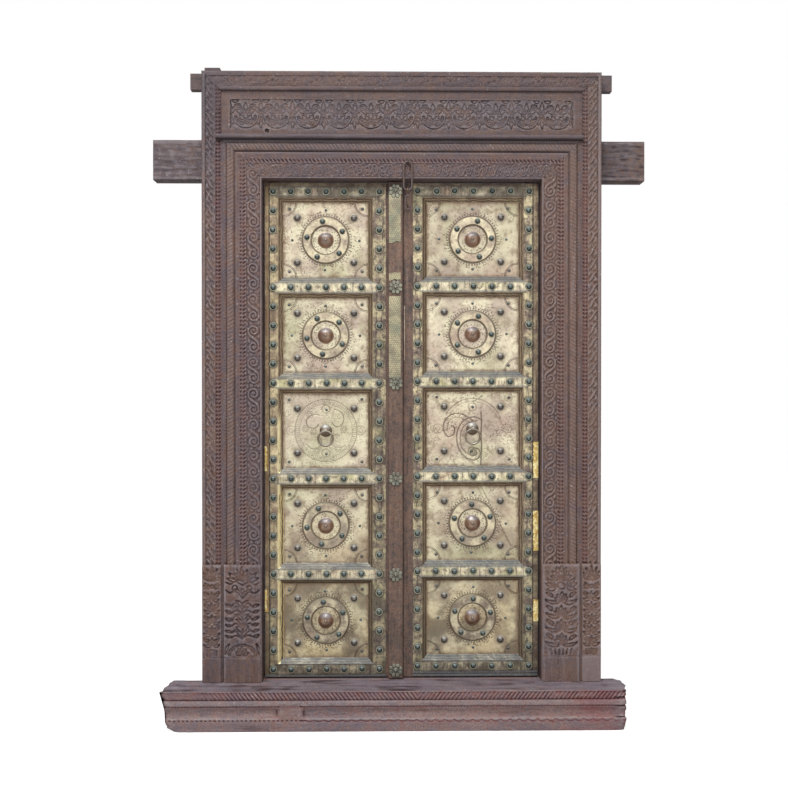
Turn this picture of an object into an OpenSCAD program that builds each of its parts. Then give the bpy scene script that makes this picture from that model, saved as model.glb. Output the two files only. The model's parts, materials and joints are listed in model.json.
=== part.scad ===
// Two-leaf temple door: brass-clad leaves in a carved hardwood frame, shown closed.
// Millimetres, +Z up, seen from -Y. The origin is on the underside of the sill, at the middle
// of the doorway and halfway through the sill's depth.

/* [Doorway] */
// Clear width of the doorway between the jambs
opening_w = 896; // [820:1:1000]
// Clear height of the doorway from the sill to the head
opening_h = 1612; // [1450:1:1800]

/* [Sill] */
// Height of the sill timber
sill_h = 125; // [105:1:150]
// Depth of the sill timber, front to back
sill_d = 260; // [230:1:320]
// Reach of the sill in front of the jambs
sill_toe = 100; // [80:1:115]
// Reach of the sill past the frame on the left
sill_over_left = 112; // [70:1:160]
// Reach of the sill past the frame on the right
sill_over_right = 62; // [40:1:140]
// How far the left end is worn back at the floor
sill_slant = 40; // [10:1:60]
// Depth of the sill's ends past the frame, from its front edge
sill_end_d = 130; // [105:1:160]
// Height of the plain band along the floor
sill_plinth_h = 40; // [28:1:44]
// Height of the hollow moulding above the plain band
sill_hollow_h = 36; // [26:1:40]
// Width of the block left uncarved in the hollow moulding
sill_block_w = 62; // [40:1:90]
// Distance of that block from the middle of the doorway
sill_block_x = 350; // [200:1:400]
// Width and depth of the lines cut along the sill
sill_line = 3; // [2:0.5:4]
// Distance of the uppermost line from the sill's top
sill_line_drop = 26; // [20:1:32]

/* [Moulding] */
// Plain edge of the moulding beside the doorway
edge_w = 5; // [3:0.5:9]
// Width of the scroll band
scroll_w = 45; // [36:1:54]
// Width of the band with two beads
bead_w = 24; // [20:1:30]
// Width of the deep groove
groove_w = 15; // [10:1:22]
// Width of the large half-round
round_w = 26; // [20:1:32]
// Plain outer edge of the moulding
back_edge_w = 8; // [5:1:12]
// Thickness of the moulded face of the frame
face_d = 50; // [44:1:58]
// Depth of the carved ground below the face
relief = 4; // [2:0.5:6]
// Gap between two curls of the scroll bands
curl_gap = 4; // [2:0.5:10]

/* [Inner frame] */
// Plain margin between the moulding and the outer strip
jamb_margin = 8; // [4:1:14]
// Depth of the margin behind the face
margin_setback = 6; // [2:1:10]
// Depth of the jambs and the head, front to back
jamb_d = 110; // [104:1:125]
// Height of the carved base blocks of the jambs
base_h = 378; // [300:1:450]
// Height of the plain foot of each base block
base_foot_h = 74; // [50:1:100]
// How far the base blocks stand proud of the face
base_proud = 4; // [2:0.5:8]
// Plain edge round the carved field of the base blocks
base_edge = 6; // [4:1:8]
// Height of the horns of the head
horn_h = 129; // [110:1:140]
// Height of the horns' underside above the doorway
horn_lift = 5; // [2:1:10]
// Reach of the left horn past the frame
horn_over_left = 166; // [100:1:200]
// Reach of the right horn past the frame
horn_over_right = 152; // [100:1:200]
// Length of the jamb tenons in the sill and the head
tenon_l = 50; // [30:1:60]
// Width of the jamb tenons
tenon_w = 60; // [40:1:80]
// Thickness of the jamb tenons
tenon_t = 22; // [14:1:28]
// Clearance of a tenon in its mortise, each side
tenon_clear = 0.2; // [0.1:0.1:0.5]

/* [Outer frame] */
// Width of the outer strips
strip_w = 61; // [52:1:72]
// Width of the two cords along the inner edge of the outer strips
cord_w = 18; // [14:1:20]
// Width of the carved band of the outer strips
band_w = 32; // [26:1:34]
// Height of the frieze board
frieze_h = 141; // [120:1:160]
// Plain margin round the carved field of the frieze
frieze_margin = 28; // [16:1:32]
// How far the frieze board lies behind the face of the frame
frieze_setback = 8; // [4:1:14]
// Height of the cornice strip over the head
cornice_h = 18; // [14:1:24]
// How far the cornice stands in front of the frame
cornice_proud = 12; // [6:1:20]
// How far the cornice laps over the left strip
cornice_lap = 14; // [4:1:30]
// Depth of the seat for that lap in the left strip
cornice_seat = 3; // [1:0.5:6]
// Number of roundels along the frieze
roundels = 11; // [7:1:13]
// Diameter of a frieze roundel
roundel_d = 80; // [64:1:84]
// Distance of the leaves between the roundels from the frieze's middle line
frieze_leaf_z = 12; // [6:1:16]
// Number of rosettes along the top strip
top_rosettes = 17; // [11:1:19]

/* [Crown] */
// Width of the crown posts
post_w = 49; // [36:1:56]
// Depth of the crown posts
post_d = 50; // [40:1:60]
// Distance of the crown posts from the outer edges of the frame
post_inset = 2; // [0:0.5:10]
// Height of the left crown post above the frame
post_rise_left = 24; // [14:1:60]
// Height of the right crown post above the frame
post_rise_right = 14; // [12:1:30]
// Height of the crown rail
crown_rail_h = 52; // [36:1:60]
// Thickness of the crown rail
crown_rail_t = 30; // [20:1:34]
// Reach of the crown rail past the frame
crown_rail_over = 46; // [10:1:60]
// Height of the crown rail's top above the frame's top
crown_rail_rise = 8; // [0:1:10]

/* [Leaves] */
// Thickness of a leaf from its rail straps to its back
leaf_t = 50; // [44:1:56]
// How far the leaves lie behind the face of the frame
leaf_setback = 42; // [36:1:46]
// Gap between a leaf and its jamb
side_gap = 5; // [3:0.5:8]
// Gap between the two leaves
meet_gap = 1; // [1:0.5:5]
// Gap over the leaves
top_gap = 5; // [3:0.5:8]
// Gap under the leaves
bottom_gap = 4; // [2:0.5:8]
// Place of the left leaf's closing edge, from the middle of the doorway
meet_x = 5; // [-10:1:20]
// Width of the flat band of a rail
rail_band = 36; // [28:1:44]
// Plain edge of the left leaf above its top rail's band
left_top_edge = 10.5; // [6:0.5:18]
// Plain edge of the left leaf below its bottom rail's band
left_bottom_edge = 7; // [4:0.5:18]
// Plain edge of the right leaf above its top rail's band
right_top_edge = 7.5; // [4:0.5:18]
// Plain edge of the right leaf below its bottom rail's band
right_bottom_edge = 16.5; // [6:0.5:22]
// Width of the slopes round the panels
bevel = 16; // [10:1:20]
// Depth of the panels below the bands
panel_drop = 17; // [12:1:19]
// Thickness of the brass sheet
sheet_t = 1.2; // [0.8:0.1:2]
// Thickness of the wooden panel boards
board_t = 12; // [8:1:14]
// Depth of the grooves that hold the panel boards
groove_d = 10; // [6:1:12]
// Clearance of a panel board or sheet in its seat
board_clear = 0.3; // [0.1:0.1:0.5]
// Length of the rail tenons in the stiles
rail_tenon_l = 25; // [15:1:30]
// Thickness of the rail tenons
rail_tenon_t = 12; // [8:1:14]
// Plain edge of the left leaf on its hanging side
left_hang_edge = 10; // [6:1:16]
// Band of the left leaf's hanging stile
left_hang_band = 32; // [28:1:40]
// Band of the left leaf's meeting stile
left_meet_band = 42; // [30:1:48]
// Bare edge between that band and the cover strip
left_meet_edge = 8; // [4:1:12]
// Plain edge of the right leaf on its hanging side
right_hang_edge = 13; // [8:1:18]
// Band of the right leaf's hanging stile
right_hang_band = 34; // [28:1:40]
// Band of the right leaf's meeting stile
right_meet_band = 30; // [24:1:40]
// Bare wooden edge of the right leaf's meeting stile
right_meet_edge = 30; // [22:1:36]
// Width of the cover strip beside the meeting joint
cover_w = 47.4; // [40:0.1:60]
// Bare edge of the left leaf between that strip and the joint
cover_inset = 1.6; // [1.4:0.1:4]
// Thickness of the cover strip
cover_t = 16; // [10:1:20]
// Radius of the cover strip's front edges
cover_r = 5; // [2:0.5:8]

/* [Pivots] */
// Diameter of the turned pivots of the hanging stiles
pivot_d = 30; // [20:1:34]
// Length of a pivot in its socket
pivot_l = 40; // [25:1:60]
// Clearance between a pivot and its socket, each side
pivot_clear = 0.4; // [0.3:0.1:0.8]

/* [Brass fittings] */
// Diameter of the studs on the bands
stud_d = 16; // [12:0.5:20]
// Height of the studs
stud_h = 6; // [4:0.5:8]
// Diameter of the round plate under a stud
stud_plate_d = 26; // [20:1:28]
// Thickness of that plate
stud_plate_t = 1.2; // [0.8:0.1:2]
// Studs along a stile for each panel
studs_per_panel = 5; // [3:1:6]
// Studs along a rail between the stiles
studs_per_rail = 5; // [3:1:6]
// Reach of a rail strap's point past the stile's studs
strap_point = 9; // [4:1:12]
// Outer diameter of the panel rings
ring_d = 150; // [120:1:160]
// Inner diameter of the panel rings
ring_bore = 95; // [80:1:100]
// Height of the panel rings
ring_h = 6; // [4:0.5:9]
// Number of studs on a panel ring
ring_studs = 5; // [4:1:8]
// Slope at the edges of a panel ring
ring_slope = 2.5; // [1.5:0.5:4]
// Diameter of the studs on the panel rings
ring_stud_d = 14; // [8:0.5:15]
// Diameter of the plates under those studs
ring_plate_d = 20; // [15:0.5:22]
// Diameter of the boss in a panel's middle
boss_d = 53; // [40:1:64]
// Height of the boss
boss_h = 14; // [8:0.5:18]
// Diameter of the domes in a panel's corners
dome_d = 29; // [20:1:34]
// Height of those domes
dome_h = 8; // [5:0.5:11]
// Distance of the corner domes from the upright edges of the left panels
dome_inset_x = 45.5; // [30:0.5:52]
// Distance of the corner domes from the level edges of a panel
dome_inset_z = 48.5; // [34:0.5:54]
// Diameter of the rosettes on the cover strip
rosette_d = 46; // [34:1:48]
// Height of those rosettes
rosette_h = 6; // [4:0.5:9]
// Gap between the newer brass patches on the leaves' edges and the studs' plates
patch_gap = 1; // [0.5:0.5:3]

/* [Pulls] */
// Outer diameter of a pull ring
pull_d = 54; // [44:1:64]
// Thickness of the pull ring's bar
pull_bar = 6.4; // [5:0.2:7]
// Diameter of the boss that holds a pull ring
pull_boss_d = 41; // [34:1:50]
// Height of that boss
pull_boss_h = 9; // [6:0.5:11]
// Thickness of the eye that the pull ring hangs in
eye_t = 6; // [4:0.5:8]
// Diameter of the hole in that eye
eye_bore = 8.6; // [8.4:0.1:9.6]
// Width of metal round that hole
eye_rim = 4; // [3:0.5:5]
// Gap between that rim and the boss
eye_stand = 1; // [0.5:0.5:3]
// Play under a hanging ring or link
hang_play = 0.3; // [0.2:0.1:0.6]

/* [Chain] */
// Place of the chain, from the middle of the doorway
chain_x = 18; // [16:1:24]
// Height of the upper link's top bar above the doorway
chain_rise = 53; // [45:1:60]
// Thickness of the upper link's bar
link_bar = 6; // [4:0.5:7]
// Width of the upper link, between the middles of its bars
link_w = 26; // [20:1:30]
// Length of the upper link, between the middles of its bars
link_l = 90; // [80:1:100]
// Gap between the upper link and the face of the head
link_gap = 3; // [2:0.5:6]
// Thickness of the lower link's bar
loop_bar = 5; // [4:0.5:6]
// Width of the lower link's loop, between the middles of its bars
loop_w = 16; // [14:0.5:20]
// Length of the lower link's loop, between the middles of its bars
loop_l = 44; // [40:1:50]
// Play of the upper link's bar in the lower link's eye
link_play = 1.5; // [1:0.1:3]
// Length of the neck between that eye and the loop
link_neck = 4; // [3:0.5:8]
// Distance from the loop's top to the leaf's staple
staple_drop = 27.3; // [22:0.1:32]
// Reach of a staple's bend in front of the link
staple_tip = 8; // [7:0.5:12]
// Thickness of the staples' wire
staple_wire = 4; // [3:0.5:4.5]
// Distance between a staple's legs, middle to middle
staple_gap = 15; // [14:0.5:17]
// Depth of the staples' legs in the wood
staple_grip = 22; // [15:1:28]

/* [Hidden] */
$fn = 48;

// Colours
dark_wood = "#6a554c";
grey_wood = "#75635b";
leaf_wood = "#5d4535";
pale_brass = "#c2ae74";
dull_brass = "#8a6c3c";
stud_metal = "#6d6650";
gold_brass = "#cf9d3f";
iron = "#4a4644";

// Overlap that fuses a detail to the piece it is carved from
fuse = 1;

// Frame
mould_w = edge_w + scroll_w + bead_w + groove_w + round_w + back_edge_w;
jamb_w = mould_w + jamb_margin;
half_opening = opening_w / 2;
half_inner = half_opening + jamb_w;
half_frame = half_inner + strip_w;
front_y = sill_toe - sill_d / 2;
face_back_y = front_y + face_d;
opening_z = sill_h + opening_h;
head_z = opening_z + mould_w;
frieze_z = head_z + cornice_h;
strip_z = frieze_z + frieze_h;
frame_z = strip_z + strip_w;
horn_z = opening_z + horn_lift;
horn_top_z = horn_z + horn_h;
groove_v = round_w / 2 - 1;
bead_r = bead_w / 4 - 1;
cord_r = cord_w / 4 - 0.5;
tenon_x = half_opening + jamb_w / 2;
tenon_y = front_y + (face_d + jamb_d) / 2;

// Crown
post_x = half_frame - post_inset - post_w / 2;
crown_rail_y = face_back_y + post_d / 2;
crown_rail_z = frame_z + crown_rail_rise - crown_rail_h / 2;

// Leaves, with x measured from the hanging edge towards the meeting edge: five panels in each,
// between rails that are named one by one
panel_rows = 5;
hang_x = half_opening - side_gap;
leaf_z = sill_h + bottom_gap;
leaf_h = opening_h - bottom_gap - top_gap;
leaf_top = leaf_z + leaf_h;
strap_y = front_y + leaf_setback;
clad_y = strap_y + sheet_t;
wood_y = clad_y + sheet_t;
panel_y = clad_y + panel_drop;
board_y = panel_y + sheet_t;
leaf_back = strap_y + leaf_t;
sheet_side = sheet_t * sqrt(bevel * bevel + panel_drop * panel_drop) / panel_drop;
heel_r = leaf_t / 2;
pull_row = floor(panel_rows / 2);

// Pulls: middle of the eye's hole and of the ring's bar
eye_r = eye_bore / 2 + eye_rim;
eye_y = panel_y - pull_boss_h - eye_r - eye_stand;
eye_root = pull_boss_h / 4;
pull_r = (pull_d - pull_bar) / 2;
pull_z = -(eye_bore - pull_bar) / 2 + hang_play;

// Chain
chain_y = front_y - link_gap - link_bar / 2;
chain_z = opening_z + chain_rise;
link_foot_z = chain_z - link_l;
link_eye_r = (link_bar + loop_bar) / 2 + link_play;
link_eye_z = link_foot_z + link_bar / 2 + hang_play - (link_eye_r - loop_bar / 2);
knuckle_l = loop_bar + link_neck;
loop_top_z = link_eye_z - link_eye_r - knuckle_l;
head_staple_z = chain_z - link_bar / 2 - hang_play - staple_wire / 2 + staple_gap / 2;
right_staple_z = loop_top_z - staple_drop;

function is_left(side) = side == "left";
function hang_edge(side) = is_left(side) ? left_hang_edge : right_hang_edge;
function hang_band(side) = is_left(side) ? left_hang_band : right_hang_band;
function meet_band(side) = is_left(side) ? left_meet_band : right_meet_band;
function meet_edge(side) = is_left(side) ? left_meet_edge + cover_w + cover_inset : right_meet_edge;
function leaf_w(side) = is_left(side) ? hang_x + meet_x : hang_x - meet_x - meet_gap;
function clad_w(side) = leaf_w(side) - meet_edge(side);
function panel_x0(side) = hang_edge(side) + hang_band(side) + bevel;
function panel_x1(side) = clad_w(side) - meet_band(side) - bevel;
function panel_x(side) = (panel_x0(side) + panel_x1(side)) / 2;
function stud_x0(side) = hang_edge(side) + hang_band(side) / 2;
function stud_x1(side) = clad_w(side) - meet_band(side) / 2;
function top_edge(side) = is_left(side) ? left_top_edge : right_top_edge;
function bottom_edge(side) = is_left(side) ? left_bottom_edge : right_bottom_edge;
function pitch(side) = (leaf_h - top_edge(side) - bottom_edge(side) - rail_band) / panel_rows;
function panel_h(side) = pitch(side) - rail_band - 2 * bevel;
function rail_z(side, i) = leaf_z + bottom_edge(side) + rail_band / 2 + i * pitch(side);
function panel_z(side, i) = rail_z(side, i) + pitch(side) / 2;
function dome_x() = (panel_x1("left") - panel_x0("left")) / 2 - dome_inset_x;
function dome_z(side) = panel_h(side) / 2 - dome_inset_z;
function ring_rows() = [for (i = [0 : panel_rows - 1]) if (i != pull_row) i];

// Shared shapes

// Leaf shape between two arcs, from its stem along +X
module vesica(l, w) {
    r = (l * l + w * w) / (4 * w);
    translate([l / 2, 0])
        intersection() {
            translate([0, r - w / 2]) circle(r);
            translate([0, w / 2 - r]) circle(r);
        }
}

// Flower of round petals about a round eye
module flower(d, petals) {
    petal_r = d * 0.34 * sin(180 / petals);
    circle(d * 0.13);
    for (i = [0 : petals - 1])
        rotate(i * 360 / petals) translate([d / 2 - petal_r, 0]) circle(petal_r);
}

module ring_shape(outer_d, inner_d) {
    difference() {
        circle(d = outer_d);
        circle(d = inner_d);
    }
}

// Row of scrolls running along +Y: each curl is a ring with a bud, joined by leaves
module scroll_row(length, width) {
    curl = width + curl_gap;
    count = floor(length / curl);
    for (i = [0 : count - 1])
        translate([width / 2, length * (i + 0.5) / count]) {
            ring_shape(width * 0.86, width * 0.6);
            circle(width * 0.14);
        }
}

// Low dome with a flat base, standing up along +Z
module dome(d, h) {
    r = (d * d / 4 + h * h) / (2 * h);
    rotate_extrude()
        intersection() {
            translate([0, h - r]) circle(r);
            square([d, h]);
        }
}

module front_dome(d, h) {
    rotate([90, 0, 0]) dome(d, h);
}

// Bar bent to a half circle in the XZ plane, opening downwards
module half_hoop(r, bar) {
    rotate([90, 0, 0])
        rotate_extrude(angle = 180) translate([r, 0]) circle(d = bar);
}

// Long loop of bar in the XZ plane, hanging from the middle of its top bar
module long_loop(w, l, bar) {
    r = w / 2;
    translate([0, 0, -r]) half_hoop(r, bar);
    translate([0, 0, r - l]) mirror([0, 0, 1]) half_hoop(r, bar);
    for (side = [-1, 1])
        translate([side * r, 0, r - l]) cylinder(d = bar, h = l - w);
}

// Staple with one leg over the other, driven along +Y, with its bend at y = 0
module staple(reach, wire) {
    r = staple_gap / 2;
    translate([0, r + wire / 2, 0]) {
        rotate([0, 0, 90]) rotate([0, -90, 0]) half_hoop(r, wire);
        for (side = [-1, 1])
            translate([0, 0, side * r]) rotate([-90, 0, 0])
                cylinder(d = wire, h = reach - r - wire / 2);
    }
}

// Frame

// Section of the carved moulding: x from the doorway outwards, y from the face backwards
module mould_profile() {
    bead_x = edge_w + scroll_w;
    groove_x = bead_x + bead_w;
    round_x = groove_x + groove_w;
    difference() {
        square([mould_w, face_d]);
        translate([edge_w, -fuse]) square([scroll_w, relief + fuse]);
        translate([bead_x, -fuse]) square([bead_w, bead_r + fuse]);
        translate([groove_x, -fuse]) square([groove_w + round_w, groove_v + fuse]);
    }
    for (side = [-1, 1])
        translate([bead_x + bead_w / 2 + side * bead_w / 4, bead_r]) circle(bead_r);
    translate([round_x + round_w / 2, groove_v]) circle(groove_v);
}

// Section of the outer strips: x from the jamb outwards, y from the face backwards
module strip_profile() {
    difference() {
        square([strip_w, face_d]);
        translate([0, -fuse]) square([cord_w, cord_r + fuse]);
        translate([cord_w, -fuse]) square([band_w, relief + fuse]);
    }
    for (side = [-1, 1])
        translate([cord_w / 2 + side * cord_w / 4, cord_r]) circle(cord_r);
}

// Flat carving standing on a ground at depth y behind the face, drawn in X and Z
module carving(depth) {
    translate([0, front_y + depth + fuse, 0])
        rotate([90, 0, 0]) linear_extrude(depth + fuse) children();
}

// Region of the frame face inside a mitre, drawn in X and Z
module mitre_block(points) {
    translate([0, face_back_y, 0]) rotate([90, 0, 0])
        linear_extrude(face_d + base_proud) polygon(points);
}

// Leaves and a flower rising from the foot of a base block
module base_motif(w, h) {
    for (tier = [0 : 3])
        translate([0, h * (0.06 + 0.2 * tier)])
            for (side = [-1, 1])
                rotate(90 - side * 48) translate([w * 0.1, 0]) vesica(w * 0.46, w * 0.2);
    translate([0, h * 0.86]) flower(w * 0.56, 8);
    for (tier = [0 : 3])
        translate([-w * 0.035, h * (0.02 + 0.2 * tier)]) square([w * 0.07, h * 0.15]);
}

// Carved block at the foot of a jamb or strip, from x0 over the width w
module base_block(x0, w) {
    field_h = base_h - base_foot_h - base_edge;
    difference() {
        translate([x0, front_y - base_proud, sill_h])
            cube([w, face_d + base_proud, base_h]);
        translate([x0 + base_edge, front_y - base_proud - fuse, sill_h + base_foot_h])
            cube([w - 2 * base_edge, base_proud + fuse, field_h]);
    }
    translate([x0 + w / 2, -base_proud, sill_h + base_foot_h])
        carving(base_proud) base_motif(w - 3 * base_edge, field_h);
}

module jamb_tenons(clear) {
    for (z = [sill_h - tenon_l, horn_z - fuse])
        translate([tenon_x - tenon_w / 2 - clear, tenon_y - tenon_t / 2 - clear, z - clear])
            cube([tenon_w + 2 * clear, tenon_t + 2 * clear, tenon_l + fuse + 2 * clear]);
}

// Right inner jamb
module inner_jamb() {
    scroll_z = sill_h + base_h;
    intersection() {
        union() {
            translate([half_opening, front_y, sill_h])
                linear_extrude(opening_h + mould_w) mould_profile();
            translate([half_opening + edge_w, 0, scroll_z])
                carving(relief) scroll_row(opening_z - scroll_z, scroll_w);
            base_block(half_opening + edge_w, mould_w - edge_w);
        }
        mitre_block([[half_opening, sill_h], [half_opening + mould_w, sill_h],
            [half_opening + mould_w, head_z], [half_opening, opening_z]]);
    }
    translate([half_opening + mould_w - fuse, front_y + margin_setback, sill_h])
        cube([jamb_margin + fuse, face_d - margin_setback, opening_h]);
    translate([half_opening + mould_w, front_y + margin_setback, sill_h])
        cube([jamb_margin, face_d - margin_setback, head_z - sill_h]);
    translate([half_opening, face_back_y - fuse, sill_h])
        cube([jamb_w, jamb_d - face_d + fuse, opening_h]);
    translate([half_opening, face_back_y, sill_h])
        cube([jamb_w, jamb_d - face_d, horn_z - sill_h]);
    jamb_tenons(0);
}

module inner_jamb_right() {
    color(dark_wood) inner_jamb();
}

module inner_jamb_left() {
    color(dark_wood) mirror([1, 0, 0]) inner_jamb();
}

module head() {
    corner = half_opening + mould_w;
    color(dark_wood)
        difference() {
            union() {
                intersection() {
                    union() {
                        translate([-corner, front_y, opening_z])
                            rotate([90, 0, 90]) linear_extrude(2 * corner)
                                mirror([1, 0, 0]) rotate(90) mould_profile();
                        translate([-half_opening, 0, opening_z + edge_w + scroll_w])
                            carving(relief) rotate(-90) scroll_row(opening_w, scroll_w);
                    }
                    mitre_block([[-half_opening, opening_z], [half_opening, opening_z],
                        [corner, head_z], [-corner, head_z]]);
                }
                translate([-half_frame - horn_over_left, face_back_y, horn_z])
                    cube([2 * half_frame + horn_over_left + horn_over_right,
                        jamb_d - face_d, horn_h]);
                translate([-half_opening, face_back_y - fuse, horn_z])
                    cube([opening_w, 2 * fuse, head_z - horn_z]);
            }
            for (side = [0, 1]) mirror([side, 0, 0]) {
                jamb_tenons(tenon_clear);
                pivot_socket(leaf_top, horn_z + pivot_l);
            }
            staple_holes(chain_x, front_y, head_staple_z);
        }
}

// Holes for a staple's two legs in a face at depth y
module staple_holes(x, y, z) {
    for (side = [-1, 1])
        translate([x, y - fuse, z + side * staple_gap / 2]) rotate([-90, 0, 0])
            cylinder(d = staple_wire + 2 * tenon_clear, h = staple_grip + fuse + tenon_clear);
}

// Hole for a pivot on the left hanging stile, between two heights
module pivot_socket(z0, z1) {
    translate([-hang_x + heel_r, leaf_back - heel_r, z0])
        cylinder(d = pivot_d + 2 * pivot_clear, h = z1 - z0 + hang_play);
}

// Section of the sill: x from the front backwards, y upwards
module sill_profile() {
    hollow_r = sill_hollow_h * 0.72;
    hollow_z = sill_plinth_h + sill_hollow_h / 2;
    difference() {
        square([sill_d, sill_h]);
        translate([-hollow_r * 0.7, hollow_z]) circle(hollow_r);
        for (z = [sill_plinth_h - 3 * sill_line, sill_plinth_h + sill_hollow_h + sill_line,
            sill_h - sill_line_drop])
            translate([-fuse, z]) square([sill_line + fuse, sill_line]);
    }
}

module sill() {
    left = half_frame + sill_over_left;
    right = half_frame + sill_over_right;
    color(grey_wood)
        difference() {
            union() {
                translate([-left, -sill_d / 2, 0])
                    rotate([90, 0, 90]) linear_extrude(left + right) sill_profile();
                translate([-sill_block_x - sill_block_w / 2, -sill_d / 2, sill_plinth_h])
                    cube([sill_block_w, sill_toe / 2, sill_hollow_h]);
            }
            translate([0, sill_d / 2 + fuse, 0]) rotate([90, 0, 0])
                linear_extrude(sill_d + 2 * fuse)
                    polygon([[-left - fuse, -fuse], [-left + sill_slant, -fuse],
                        [-left, sill_h + fuse], [-left - fuse, sill_h + fuse]]);
            for (side = [0, 1]) mirror([side, 0, 0]) {
                translate([half_frame, sill_end_d - sill_d / 2, -fuse])
                    cube([max(left, right), sill_d, sill_h + 2 * fuse]);
                jamb_tenons(tenon_clear);
                pivot_socket(sill_h - pivot_l - hang_play, sill_h);
            }
        }
}

// Right outer strip
module outer_jamb() {
    band_z = sill_h + base_h;
    intersection() {
        union() {
            translate([half_inner, front_y, sill_h])
                linear_extrude(frame_z - sill_h) strip_profile();
            translate([half_inner + cord_w, 0, band_z])
                carving(relief) scroll_row(strip_z - band_z, band_w);
            base_block(half_inner, strip_w);
        }
        mitre_block([[half_inner, sill_h], [half_frame, sill_h],
            [half_frame, frame_z], [half_inner, strip_z]]);
    }
}

module outer_jamb_right() {
    color(dark_wood) outer_jamb();
}

module outer_jamb_left() {
    color(dark_wood)
        difference() {
            mirror([1, 0, 0]) outer_jamb();
            translate([-half_inner - cornice_lap, front_y - fuse, head_z])
                cube([cornice_lap + fuse, cornice_seat + fuse, cornice_h]);
        }
}

module outer_head() {
    rosette_pitch = 2 * half_inner / top_rosettes;
    color(dark_wood)
        intersection() {
            union() {
                translate([-half_frame, front_y, strip_z])
                    rotate([90, 0, 90]) linear_extrude(2 * half_frame)
                        mirror([1, 0, 0]) rotate(90) strip_profile();
                for (i = [0 : top_rosettes - 1])
                    translate([(i + 0.5) * rosette_pitch - half_inner, 0,
                        strip_z + cord_w + band_w / 2])
                        carving(relief) flower(band_w * 0.86, 6);
            }
            mitre_block([[-half_inner, strip_z], [half_inner, strip_z],
                [half_frame, frame_z], [-half_frame, frame_z]]);
        }
}

// Vine roundel: a ring round a flower
module roundel() {
    ring_shape(roundel_d, roundel_d * 0.84);
    flower(roundel_d * 0.72, 8);
}

module frieze_panel() {
    field_w = 2 * (half_inner - frieze_margin);
    step = field_w / roundels;
    color(dark_wood) {
        difference() {
            translate([-half_inner, front_y + frieze_setback, frieze_z])
                cube([2 * half_inner, face_d - frieze_setback, frieze_h]);
            translate([-field_w / 2, front_y + frieze_setback - fuse, frieze_z + frieze_margin / 2])
                cube([field_w, relief + fuse, frieze_h - 1.5 * frieze_margin]);
        }
        translate([0, frieze_setback, frieze_z + frieze_h / 2 - frieze_margin / 4])
            carving(relief) {
                for (i = [0 : roundels - 1])
                    translate([(i + 0.5) * step - field_w / 2, 0]) roundel();
                for (i = [1 : roundels - 1], side = [-1, 1])
                    translate([i * step - field_w / 2, side * frieze_leaf_z]) rotate(side * 90)
                        vesica(roundel_d * 0.32, roundel_d * 0.14);
            }
    }
}

// Cornice: a strip over the head with a rounded nose, lapped over the left strip
module cornice_strip() {
    nose_r = cornice_h / 2;
    nose_y = front_y - cornice_proud + nose_r;
    color(grey_wood) {
        translate([-half_inner, 0, head_z]) cornice_length(nose_y, nose_r, 2 * half_inner);
        translate([-half_inner - cornice_lap, 0, head_z])
            intersection() {
                cornice_length(nose_y, nose_r, cornice_lap + fuse);
                translate([0, front_y - cornice_proud, 0])
                    cube([cornice_lap + fuse, cornice_proud + cornice_seat, cornice_h]);
            }
    }
}

module cornice_length(nose_y, nose_r, length) {
    rotate([90, 0, 90])
        linear_extrude(length) {
            translate([nose_y, nose_r]) circle(nose_r);
            translate([nose_y, 0]) square([face_back_y - nose_y, cornice_h]);
        }
}

// Crown

module crown_rail() {
    half = half_frame + crown_rail_over;
    color(grey_wood)
        translate([-half, crown_rail_y - crown_rail_t / 2, crown_rail_z - crown_rail_h / 2])
            cube([2 * half, crown_rail_t, crown_rail_h]);
}

module crown_post(x, top) {
    color(grey_wood)
        difference() {
            translate([x - post_w / 2, face_back_y, horn_top_z])
                cube([post_w, post_d, top - horn_top_z]);
            translate([x - post_w / 2 - fuse, crown_rail_y - crown_rail_t / 2 - tenon_clear,
                crown_rail_z - crown_rail_h / 2])
                cube([post_w + 2 * fuse, crown_rail_t + 2 * tenon_clear,
                    crown_rail_h + tenon_clear]);
        }
}

module crown_post_left() {
    crown_post(-post_x, frame_z + post_rise_left);
}

module crown_post_right() {
    crown_post(post_x, frame_z + post_rise_right);
}

// Chain

module head_staple() {
    tip_y = chain_y - link_bar / 2 - staple_tip;
    color(iron)
        translate([chain_x, tip_y, head_staple_z])
            staple(front_y + staple_grip - tip_y, staple_wire);
}

module chain_link_upper() {
    color(iron) translate([chain_x, chain_y, chain_z]) long_loop(link_w, link_l, link_bar);
}

module chain_link_lower() {
    color(iron) translate([chain_x, chain_y, 0]) {
        translate([0, 0, link_eye_z]) rotate([0, 90, 0])
            rotate_extrude() translate([link_eye_r, 0]) circle(d = loop_bar);
        translate([0, 0, loop_top_z]) cylinder(d = loop_bar, h = knuckle_l);
        translate([0, 0, loop_top_z]) long_loop(loop_w, loop_l, loop_bar);
    }
}

// Leaves

// Puts a leaf that is drawn from its hanging edge along +X in the doorway
module in_doorway(side) {
    mirror([is_left(side) ? 0 : 1, 0, 0]) translate([-hang_x, 0, 0]) children();
}

// Sunk panel with sloping sides, widened by grow on each side, from the face at y = clad_y
module panel_pocket(side, i, grow) {
    x0 = panel_x0(side) - grow;
    x1 = panel_x1(side) + grow;
    half_h = panel_h(side) / 2 + grow;
    run = bevel / panel_drop;
    y0 = clad_y - fuse;
    out = (panel_y - y0) * run;
    intersection() {
        translate([0, 0, panel_z(side, i) - half_h - out]) linear_extrude(2 * (half_h + out))
            polygon([[x0 - out, y0], [x1 + out, y0], [x1, panel_y], [x0, panel_y]]);
        translate([x0 - out, 0, panel_z(side, i)]) rotate([90, 0, 90])
            linear_extrude(x1 - x0 + 2 * out)
                polygon([[y0, -half_h - out], [panel_y, -half_h], [panel_y, half_h],
                    [y0, half_h + out]]);
    }
}

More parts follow.
